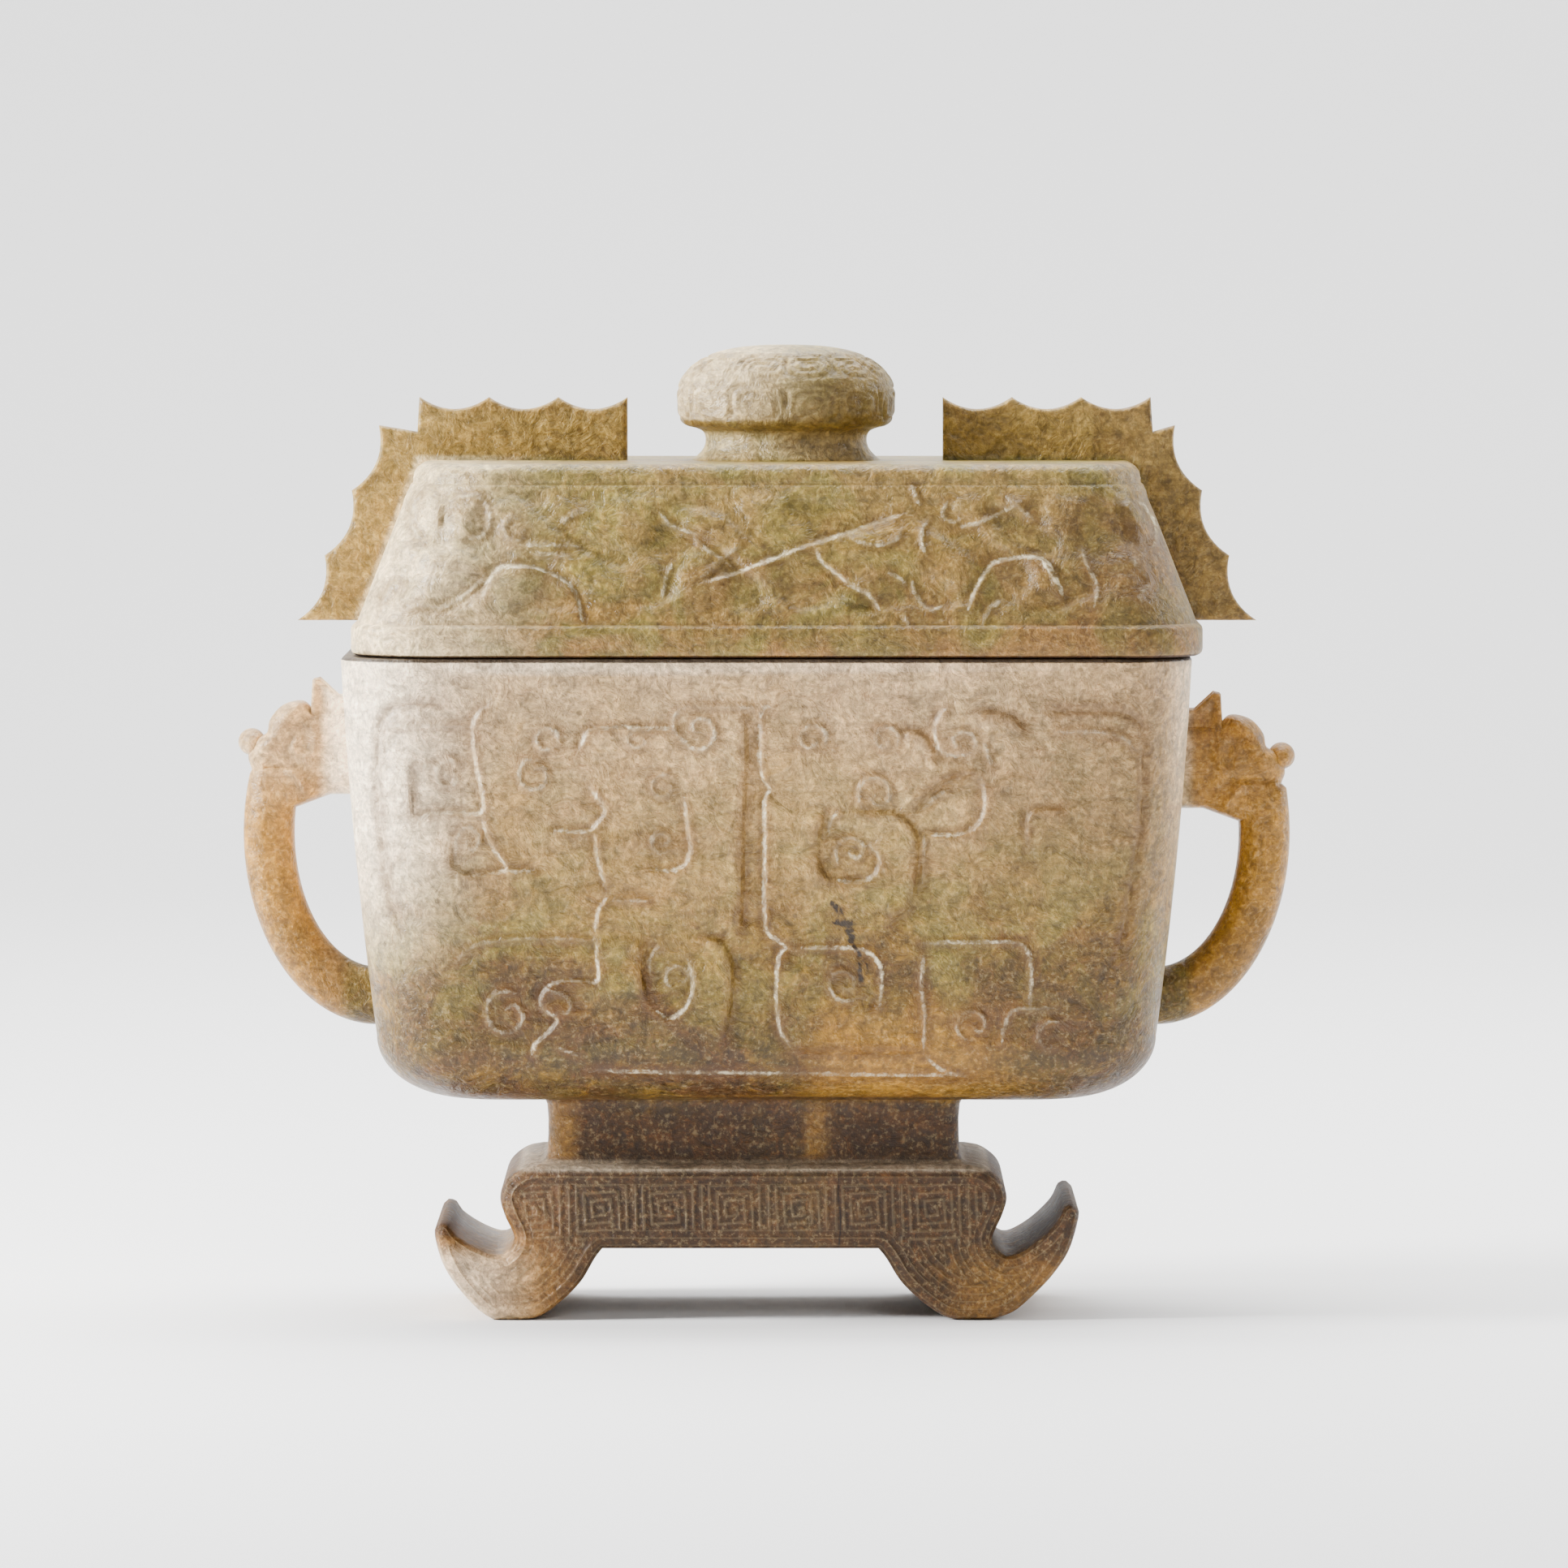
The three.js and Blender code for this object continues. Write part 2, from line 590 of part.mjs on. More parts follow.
function hoodSolid() {
  const mouthHalfLength = bodyHalfLength(rim) - WALL - LEDGE_CLEARANCE;
  const mouthHalfDepth = bodyHalfDepth(rim) - WALL - LEDGE_CLEARANCE;
  const mouthCorner = BODY_CORNER - WALL;
  const ledge = loft([
    roundedRing(mouthHalfLength, mouthHalfDepth, mouthCorner, rim - LEDGE_DROP),
    roundedRing(mouthHalfLength, mouthHalfDepth, mouthCorner, rim + 1),
  ]);
  const roundStart = lidTop - LID_TOP_ROUND;
  const levels = [
    [lidLength / 2 - RIM_ROUND, lidDepth / 2 - RIM_ROUND, rim],
    [lidLength / 2, lidDepth / 2, rim + RIM_ROUND],
    [lidLength / 2, lidDepth / 2, collarTop - 0.3],
    [hoodHalfLength(collarTop), hoodHalfDepth(collarTop), collarTop],
    [hoodHalfLength(roundStart), hoodHalfDepth(roundStart), roundStart],
    [hoodHalfLength(roundStart) - 0.9, hoodHalfDepth(roundStart) - 0.9, lidTop - 0.7],
    [hoodHalfLength(lidTop) - LID_TOP_ROUND, hoodHalfDepth(lidTop) - LID_TOP_ROUND, lidTop],
  ];
  const hood = loft(levels.map(([halfLength, halfDepth, z]) => (
    roundedRing(halfLength, halfDepth, LID_CORNER, z, LID_SHIFT)
  )));
  return hood.add(ledge);
}

function underLidSolid() {
  const halfLength = bodyHalfLength(rim) - WALL - LEDGE_CLEARANCE - LEDGE_WALL;
  const halfDepth = bodyHalfDepth(rim) - WALL - LEDGE_CLEARANCE - LEDGE_WALL;
  const corner = BODY_CORNER - WALL - LEDGE_WALL / 2;
  const top = lidTop - LID_ROOF;
  const topLength = hoodHalfLength(top) - WALL;
  const topDepth = hoodHalfDepth(top) - WALL;
  return loft([
    roundedRing(halfLength, halfDepth, corner, rim - LEDGE_DROP - 1),
    roundedRing(halfLength, halfDepth, corner, collarTop),
    roundedRing(Math.min(halfLength, topLength), Math.min(halfDepth, topDepth), corner, mix(collarTop, top, 0.8)),
    roundedRing(Math.min(halfLength, topLength) - 4, Math.min(halfDepth, topDepth) - 4, corner, top),
  ]);
}

function knobSolid() {
  const rounding = (share) => KNOB_LENGTH / 2 * (1 - share ** 2.6) ** (1 / 2.6);
  const belly = lidTop + KNOB_HEIGHT * 0.5;
  const profile = [[0, lidTop - 1], [KNOB_FLARE / 2, lidTop - 1], [KNOB_FLARE / 2, lidTop]];
  profile.push([KNOB_WAIST / 2 + 0.5, lidTop + KNOB_UNDERCUT * 0.4]);
  profile.push([KNOB_WAIST / 2, lidTop + KNOB_UNDERCUT * 0.7]);
  profile.push([KNOB_WAIST / 2 + 0.7, lidTop + KNOB_UNDERCUT]);
  profile.push([KNOB_LENGTH / 2 - 1.5, lidTop + KNOB_UNDERCUT + 1]);
  profile.push([KNOB_LENGTH / 2 - 0.2, mix(lidTop + KNOB_UNDERCUT, belly, 0.5)]);
  for (const share of [0, 0.3, 0.55, 0.75, 0.9, 0.98]) {
    profile.push([rounding(share), mix(belly, knobTop, share)]);
  }
  profile.push([0, knobTop]);
  const lathe = new THREE.LatheGeometry(profile.map(([r, z]) => new THREE.Vector2(r, z)), 24);
  lathe.rotateX(Math.PI / 2);
  lathe.scale(1, KNOB_FLATNESS, 1);
  lathe.translate(KNOB_AXIS, 0, 0);
  return solidFrom(lathe);
}

// Adds scallops to an outline: arcs that dip inwards between evenly spaced pointed tips.
function addScallops(shape, from, to, inward) {
  for (let i = 0; i < SCALLOPS; i++) {
    const start = from.clone().lerp(to, i / SCALLOPS);
    const end = from.clone().lerp(to, (i + 1) / SCALLOPS);
    const dip = start.clone().lerp(end, 0.5).addScaledVector(inward, SCALLOP_DIP * 2);
    shape.quadraticCurveTo(dip.x, dip.y, end.x, end.y);
  }
}

function flangeSolid(side) {
  const axis = side * FLANGE_AXIS;
  const innerX = axis + FLANGE_GAP / 2;
  const outerX = innerX + TOP_FLANGE_LENGTH;
  const shelf = flangeTop - FLANGE_HEIGHT / 2;
  const sideTop = new THREE.Vector2(side * LID_SHIFT + lidTopLength / 2 + SIDE_FLANGE_SHELF + 3, shelf + 0.6);
  const sideFoot = new THREE.Vector2(side * LID_SHIFT + lidLength / 2 + SIDE_FLANGE_STAND, collarTop - 0.6);
  const outward = new THREE.Vector2().subVectors(sideFoot, sideTop).normalize();
  const rootX = side * LID_SHIFT + lidTopLength / 2 - WALL / 2;
  const shape = new THREE.Shape();
  shape.moveTo(innerX, lidTop - 1.5);
  shape.lineTo(innerX, flangeTop);
  addScallops(shape, new THREE.Vector2(innerX, flangeTop), new THREE.Vector2(outerX, flangeTop), new THREE.Vector2(0, -1));
  shape.lineTo(outerX + 0.4, shelf - 0.6);
  shape.lineTo(sideTop.x, sideTop.y);
  addScallops(shape, sideTop, sideFoot, new THREE.Vector2(outward.y, -outward.x));
  shape.lineTo(side * LID_SHIFT + lidLength / 2 - COLLAR_STEP - 3, sideFoot.y);
  shape.lineTo(rootX, lidTop - 4);
  const plate = standingPlate(shape, FLANGE_THICKNESS, FLANGE_EDGE, 4);
  return side > 0 ? plate : mirroredInX(plate);
}

function lidSolid() {
  const strokes = joined(LID_STROKES.map((band) => reliefBand(lidPanel, band)));
  const plainer = joined(LID_STROKES.filter((band) => !band.thin).map((band) => reliefBand(lidPanel, band)));
  const back = plainer.translate([-LID_SHIFT, 0, 0]).rotate([0, 0, 180]).translate([LID_SHIFT, 0, 0]);
  const outside = joined([hoodSolid(), knobSolid(), flangeSolid(-1), flangeSolid(1), strokes, back]);
  return outside.subtract(underLidSolid());
}

const vase = new THREE.Group();
vase.add(meshFrom(vesselSolid(), 'vessel', new THREE.MeshStandardMaterial({
  color: '#a58f63',
  roughness: 0.42,
  metalness: 0,
})));
vase.add(meshFrom(lidSolid(), 'lid', new THREE.MeshStandardMaterial({
  color: '#958349',
  roughness: 0.4,
  metalness: 0,
})));

export default vase;
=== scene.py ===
"""Lidded vase of carved nephrite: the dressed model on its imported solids.

The vessel is one piece of stone with its stand and handles, and the lid is a second piece.
Sizes inside the shaping functions are millimetres; a finished mesh is scaled to metres.
"""
import math

import bmesh
import bpy
import numpy as np
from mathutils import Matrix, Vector
from mathutils.geometry import delaunay_2d_cdt


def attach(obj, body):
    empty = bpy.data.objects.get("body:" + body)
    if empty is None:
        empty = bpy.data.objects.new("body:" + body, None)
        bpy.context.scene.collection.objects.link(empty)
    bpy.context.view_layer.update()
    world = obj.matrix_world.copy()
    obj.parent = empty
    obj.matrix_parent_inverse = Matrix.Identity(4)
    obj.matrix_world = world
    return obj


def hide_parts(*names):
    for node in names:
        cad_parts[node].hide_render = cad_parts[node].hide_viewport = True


bl_info = {
    "name": "Lidded jade vase",
    "version": (1, 0, 0),
    "blender": (4, 5, 0),
    "location": "3D View > Sidebar > Jade vase",
    "description": "Builds a carved jade vase with its lid, and a plain stage to show it on",
    "category": "Add Mesh",
}

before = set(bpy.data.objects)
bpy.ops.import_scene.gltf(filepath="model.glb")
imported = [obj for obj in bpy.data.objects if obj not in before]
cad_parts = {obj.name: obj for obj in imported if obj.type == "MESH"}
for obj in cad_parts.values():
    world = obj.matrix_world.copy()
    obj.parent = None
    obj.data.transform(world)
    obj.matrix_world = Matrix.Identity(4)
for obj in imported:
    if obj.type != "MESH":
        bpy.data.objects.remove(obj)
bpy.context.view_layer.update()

MM = 0.001

# Levels above the surface that the vase stands on
STAND_GAP = 13.1
STAND_TOP = 28.5
BODY_BOTTOM = 40.4
RIM = 122.0
COLLAR_TOP = 128.0
LID_TOP = 157.0
FLANGE_TOP = 168.6

# Body and cavity
RIM_LENGTH = 155.2
RIM_DEPTH = 90.0
BASE_LENGTH = 142.6
BASE_DEPTH = 81.0
BODY_CORNER = 15.5
BOTTOM_ROLL = 12.0
BOTTOM_ROLL_REACH = 17.0
BODY_BULGE = 0.7
RIM_ROUND = 0.9
WALL = 7.0
FLOOR = 10.0
CAVITY_ROLL = 8.0

# Stand and neck
STAND_DEPTH = 54.0
STAND_ROUND = 2.2
STAND_CENTRE = -2.4
NECK_LENGTH = 75.8
NECK_DEPTH = 43.0
NECK_CORNER = 3.5

# Lid
LID_SHIFT = 1.9
COLLAR_STEP = 1.0
HOOD_SLOPE_ENDS = 12.1
HOOD_SLOPE_FRONT = 10.0
LID_CORNER = 15.0
LEDGE_DROP = 5.0
LEDGE_CLEARANCE = 0.6
LEDGE_WALL = 4.6
LID_ROOF = 8.0

# Knob and flanges
KNOB_AXIS = 3.6
KNOB_HALF = 20.3
KNOB_FLATNESS = 0.68
FLANGE_AXIS = 3.4
FLANGE_THICKNESS = 4.6
FLANGE_GAP = 58.2
TOP_FLANGE_LENGTH = 38.4
SCALLOP_DIP = 2.2

# Handles
HANDLE_DEPTH = 10.6
HANDLE_PROJECTION = 20.3
LOOP_RISE = 35.6
LOOP_BOTTOM = 12.1
ARM_WIDTH = 9.4
ARM_FOOT = 10.6
HEAD_DROPS = {-1: 22.0, 1: 24.6}
HEAD_HEIGHT = 16.8
HEAD_THROAT = 4.8

# Carving on the front wall, drawn from the front: name, form, raised side, tone, points in x and z.
# A step raises the wall to the left (1) or right (-1) of the way the line runs.
# Tone is how pale (above 0) or dark (below 0) the line is painted: pale is a painted highlight on an edge that
# faces the light, partly pale worn stone, and dark is painted shade on a wall turned from the light and in a
# groove.
BODY_STROKES = [
    ("left frame", "groove", 0, -0.35, [(-57.9, 114), (-65.2, 113.7), (-68.5, 112.2), (-70.1, 109.3),
     (-70.7, 103.4), (-70.5, 94.6), (-69.6, 85.8), (-67.9, 77), (-66.4, 72.6)]),
    ("left inner frame", "ridge", 0, 0.3, [(-69.6, 109.7), (-60.8, 109.9), (-53, 109.7)]),
    ("left square scroll, right and lower walls", "step", 1, 0.9, [(-50.8, 113.4), (-52.6, 111.6), (-53.2, 109.3),
     (-52.7, 103.4), (-51.7, 98.3), (-51.6, 94.2), (-56.4, 94.2), (-60.8, 94), (-63, 93.4)]),
    ("left square scroll, left wall", "step", 1, -0.9, [(-63.9, 92.8), (-64.2, 97.5), (-64.2, 102.4)]),
    ("left square scroll, upper wall", "ridge", 0, 0.5, [(-63.8, 102.5), (-60.8, 102.5), (-58.3, 102.2)]),
    ("left square scroll, curl", "ridge", 0, 0.5, [(-55.4, 102.7), (-57, 103.7), (-58.9, 103.1), (-59.8, 101.2),
     (-58.9, 99.3), (-56.9, 99), (-56, 100.5), (-57, 101.6)]),
    ("left lower scroll, right and lower walls", "step", 1, 0.9, [(-51.4, 93.1), (-50.5, 89.5), (-48.8, 86.5),
     (-47.2, 83.9), (-50.5, 83), (-54.2, 82.9), (-56.1, 83.9)]),
    ("left lower scroll, left wall", "step", 1, -0.8, [(-56.9, 83.6), (-57, 86.1), (-56.7, 88.3)]),
    ("left lower scroll, tail", "step", -1, 0.8, [(-47.3, 83.5), (-44.7, 83.5), (-41.7, 83.3)]),
    ("left lower scroll, curl", "ridge", 0, 0.45, [(-56.4, 85.5), (-56.1, 89.5), (-54.6, 91.4), (-52.7, 90.8),
     (-52, 88.7), (-53.2, 87.3), (-54.5, 88.1), (-53.9, 89.3)]),
    ("left eye", "ridge", 0, 0.9, [(-38.3, 106), (-40.5, 105.6), (-41.6, 107.5), (-40.7, 109.1), (-38.8, 109.4),
     (-37.6, 107.9), (-38, 106.3)]),
    ("left cheek curl", "ridge", 0, 0.7, [(-41.7, 104.1), (-43.9, 103.4), (-44.8, 101.2), (-43.9, 99),
     (-41.7, 98.4), (-40, 99.7), (-40, 101.9), (-41.4, 102.5), (-42.5, 101.3)]),
    ("left brow", "step", -1, 1.0, [(-34.2, 105.3), (-33.2, 107.1), (-32.6, 108.7), (-30.7, 109.4),
     (-24.1, 109.6), (-15.6, 109.4)]),
    ("left brow curl", "ridge", 0, 1.0, [(-14.5, 113.4), (-16.3, 112.2), (-16.9, 110.7), (-16.3, 108.8),
     (-14.4, 106.6), (-12, 105.6), (-10, 106.6), (-9.3, 108.5), (-10.3, 110.7), (-12.2, 111.3), (-13.4, 110.2),
     (-12.8, 108.7), (-11.6, 108.8)]),
    ("left top line", "ridge", 0, 0.35, [(-14.5, 113.4), (-7.9, 113.4), (-1.2, 113.2)]),
    ("left small curl, upper", "ridge", 0, 0.4, [(-21.9, 109), (-23.5, 109.3), (-25, 108.1), (-24.7, 106.5),
     (-23.1, 106), (-21.9, 107.1), (-22.8, 108.1)]),
    ("left small curl, middle", "ridge", 0, 0.4, [(-16.7, 100.2), (-18.5, 101.1), (-20.3, 100), (-20.6, 98.3),
     (-19.2, 97.1), (-17.5, 97.7), (-17.3, 99.1), (-18.7, 99.6)]),
    ("left cheek", "step", 1, 1.0, [(-32.3, 99), (-30.7, 96.8), (-29.2, 94.6), (-30.4, 92.5), (-31.7, 91.1),
     (-35.1, 90.6), (-38.8, 91.1)]),
    ("left spine, upper", "step", 1, 0.8, [(-31.1, 90.5), (-30.7, 86.1), (-29.8, 82.9), (-28.9, 80.2)]),
    ("left spine, middle", "step", 1, 0.8, [(-28.6, 78.8), (-30, 77.3), (-30.8, 74.9), (-31, 72.6)]),
    ("left spine branch", "ridge", 0, 0.4, [(-28.6, 78.2), (-24.8, 78.2), (-21.2, 78)]),
    ("left spine, lower", "step", 1, 1.0, [(-31.3, 71.4), (-30.8, 68.2), (-30.7, 63.5), (-33.6, 63.4),
     (-37.3, 63.4), (-40, 62), (-41.1, 59.7), (-40.3, 57.9), (-38, 56.2), (-40, 53.8), (-42, 51.8),
     (-42.7, 49.7)]),
    ("left jaw", "step", 1, 0.9, [(-14.8, 96.8), (-14.4, 91.7), (-13.8, 87.6), (-15, 84.6), (-17.9, 83.5),
     (-21.2, 83.9)]),
    ("left jaw curl", "ridge", 0, 0.6, [(-17.3, 87.3), (-19.2, 86.8), (-20.7, 88.1), (-20.4, 89.9), (-18.8, 90.5),
     (-17.5, 89.5), (-18.2, 88.3), (-19.2, 88.6)]),
    ("left claw box, top", "ridge", 0, 0.3, [(-56.4, 66.7), (-52.7, 70), (-44.7, 71.1), (-35.8, 71.1),
     (-31.7, 70.8)]),
    ("left claw curl", "ridge", 0, 0.45, [(-44.7, 61.2), (-48.3, 61.4), (-50.5, 59.4), (-50.5, 56.2),
     (-48.3, 54.1), (-45.2, 54.7), (-44.2, 57), (-45.8, 59), (-47.6, 57.9)]),
    ("left claw dash", "ridge", 0, 0.6, [(-37.9, 51.2), (-35.8, 50.4), (-33.8, 49.4)]),
    ("left claw inner curl", "ridge", 0, 0.35, [(-40, 61.4), (-37.3, 61.2), (-35.5, 59.4), (-36.1, 57.6),
     (-37.9, 57.9)]),
    ("left shield, left wall", "step", 1, -0.8, [(-21.2, 58.7), (-22.3, 63.1), (-22.3, 67.5), (-21.2, 70.2)]),
    ("left shield, right and lower walls", "step", 1, 1.0, [(-14.4, 67.5), (-13.5, 64.5), (-13.5, 61.2),
     (-15, 58.2), (-17.5, 56.6), (-20, 57.9)]),
    ("left shield, inner arc", "ridge", 0, 0.9, [(-21, 64.5), (-21.2, 67.5), (-19.2, 70.2)]),
    ("left shield curl", "ridge", 0, 0.5, [(-16.7, 61.6), (-18.2, 63.5), (-17.6, 65.6), (-15.6, 66.1),
     (-14.1, 64.7), (-15, 63.1), (-16.3, 63.8)]),
    ("left shield, outer edge", "step", -1, -0.5, [(-11.2, 71.1), (-8.5, 70.8), (-6.8, 68.5), (-6, 64.5),
     (-6.6, 58.7), (-7.6, 52.1)]),
    ("channel, left wall", "step", -1, -0.4, [(-3.7, 112.2), (-3.7, 100.5), (-4, 94.6), (-4.3, 79.9),
     (-4.8, 72.6)]),
    ("channel head", "ridge", 0, 0.8, [(1.2, 113.5), (-0.6, 113.1), (-1.2, 111)]),
    ("right spine, upper", "step", 1, 0.9, [(-1.2, 111), (-1.3, 104.9), (-0.9, 100.8), (1, 98)]),
    ("right spine, middle", "step", 1, 1.1, [(1, 98), (-0.3, 96.9), (-0.4, 91.7), (-0.4, 76.3), (0.1, 72.6),
     (2.1, 70.7), (4.1, 69.5)]),
    ("right spine, lower", "step", 1, 1.1, [(4.1, 69.5), (2.4, 68.2), (1.9, 65.3), (1.8, 59.4), (2.5, 54.3),
     (4.6, 51)]),
    ("right base line", "step", 1, -0.3, [(4.6, 51), (8.2, 50.4), (18.5, 50.4), (28.5, 50.3)]),
    ("right base dash", "ridge", 0, 0.8, [(28.5, 50), (30.6, 47.9), (32.9, 46.6), (37, 45.6)]),
    ("right upper curl, first", "ridge", 0, 0.7, [(10.4, 105.6), (10.9, 108.1), (9.7, 109.7), (7.8, 109.9),
     (6.3, 108.5), (6.5, 106.6), (7.9, 105.9), (9.1, 107.1), (8.4, 108.2)]),
    ("right upper dot", "ridge", 0, 0.8, [(11.8, 105.7), (12.2, 105.3)]),
    ("right upper curl, second", "ridge", 0, 0.55, [(23.7, 106), (23.9, 108.2), (22.5, 109.6), (20.6, 109.3),
     (19.7, 107.7), (20.6, 106.2), (22.2, 106.5), (21.9, 107.8)]),
    ("right crest", "step", 1, 1.0, [(32.9, 113.2), (31.3, 111.9), (30.4, 109.7), (30.7, 106.9), (31.7, 105.2),
     (34.1, 104.4), (37, 104.9)]),
    ("right crest curl", "ridge", 0, 0.5, [(37, 104.9), (38, 106.8), (37, 108.5), (35.1, 108.8), (33.8, 107.7),
     (34.5, 106.2), (35.8, 106.8)]),
    ("right crest, outer dash", "ridge", 0, 0.9, [(39.2, 106.9), (40.1, 104.9), (40.7, 102.5)]),
    ("right crest, upper arc", "step", -1, -0.3, [(38.3, 112.2), (42, 112.2), (45, 111), (46.7, 108.8)]),
    ("right brow", "step", -1, -0.5, [(24.4, 108.8), (27.3, 108.7), (29.4, 107.2), (30.4, 104.3)]),
    ("right beak, upper wall", "step", 1, -0.7, [(26.4, 94.6), (28.8, 96.8), (31.7, 99.6), (36.1, 100.9),
     (38.8, 100.2)]),
    ("right beak, lower wall", "step", 1, 1.0, [(38.8, 100.2), (39.5, 96.8), (39.1, 93.4), (36.9, 90.9),
     (33.2, 90.1), (28.8, 90.2)]),
    ("right beak, slit", "ridge", 0, 0.5, [(27.8, 94.6), (30.3, 96.8), (32.9, 98.3)]),
    ("right eye curl", "ridge", 0, 0.75, [(17.3, 94.6), (16.7, 97.2), (17.6, 99.6), (20, 100.5), (22, 99.3),
     (22.3, 96.8), (20.7, 95.3), (19.2, 96.4), (20, 97.8)]),
    ("right square scroll, left wall", "step", 1, -0.9, [(11.8, 81.4), (9.7, 84.6), (9.5, 89.5), (10.9, 94.3)]),
    ("right square scroll, lower wall", "step", 1, 1.0, [(18.5, 88.3), (20.3, 86.1), (20, 83.6), (18.2, 82),
     (14.8, 81.5), (12.3, 82.1)]),
    ("right square scroll, corner", "ridge", 0, 0.8, [(11.3, 90.2), (11.6, 92.8), (13.2, 94)]),
    ("right square scroll, outer edge", "step", -1, -0.55, [(15.6, 94.3), (22.9, 94), (26.1, 92), (27.3, 88.7),
     (27.2, 81.1), (25.6, 76.7), (22.3, 74.1)]),
    ("right square scroll, outer line", "ridge", 0, 0.4, [(28.6, 90.2), (28.5, 85.8), (28.4, 81.1)]),
    ("right square scroll, curl", "ridge", 0, 0.6, [(12.9, 84.6), (12.6, 87.6), (14.4, 89.5), (16.7, 89.2),
     (17.6, 87.3), (16.5, 85.8), (15, 86.7), (15.7, 87.9)]),
    ("right lower scroll", "ridge", 0, 1.1, [(6, 69.4), (9.7, 69.5), (15.9, 69.4), (18.8, 68.5), (20.6, 66.4),
     (21, 63.5), (20.7, 60), (19.7, 57.6)]),
    ("right lower scroll, curl", "ridge", 0, 0.55, [(17.3, 60.6), (14.1, 59.7), (11.8, 61.4), (11.8, 64.1),
     (13.8, 65.3), (15.9, 64.1), (15.6, 62), (13.8, 62), (13.7, 63.4)]),
    ("right foot box", "ridge", 0, 1.0, [(27.9, 70.4), (36.1, 70.5), (44.7, 70.5), (47, 69.4), (48, 66.7),
     (48, 58.5)]),
    ("right foot box, left wall", "ridge", 0, 0.7, [(28.6, 68.8), (28.2, 62.3), (28.8, 56.8), (28.6, 50.6)]),
    ("right foot box, tail", "ridge", 0, 0.8, [(52.7, 58.4), (48.6, 58.4), (45.2, 58.1), (43.6, 56.2),
     (42.7, 51.8)]),
    ("right foot curl", "ridge", 0, 0.4, [(36.9, 52.1), (34.7, 54.3), (35.3, 57), (37.6, 57.9), (39.7, 56.2),
     (38.8, 54.1), (37.2, 55)]),
    ("right far curl", "ridge", 0, 0.35, [(54.9, 55), (52.3, 56.2), (49.9, 55), (49.4, 52.8), (51.1, 51.2),
     (53.2, 52.1)]),
    ("right frame", "groove", 0, -0.3, [(50.8, 112.6), (59.6, 112.6), (64.8, 112.2), (67.6, 110.4), (68.5, 106.3),
     (68.3, 94.6), (67.1, 84.3), (65.8, 75.5), (63.8, 66.7)]),
    ("right inner frame", "ridge", 0, 0.4, [(52.3, 108.8), (59.9, 108.8), (64.6, 107.8), (66.5, 105.6)]),
    ("right key, corner", "step", -1, -0.4, [(47.3, 87.6), (47.2, 92.8), (48.8, 94.6), (54.1, 94.9)]),
    ("bottom line", "ridge", 0, 0.75, [(-32.6, 46.8), (-21.2, 46.6), (0.9, 46.3), (22.9, 46), (36.1, 45.9)]),
]

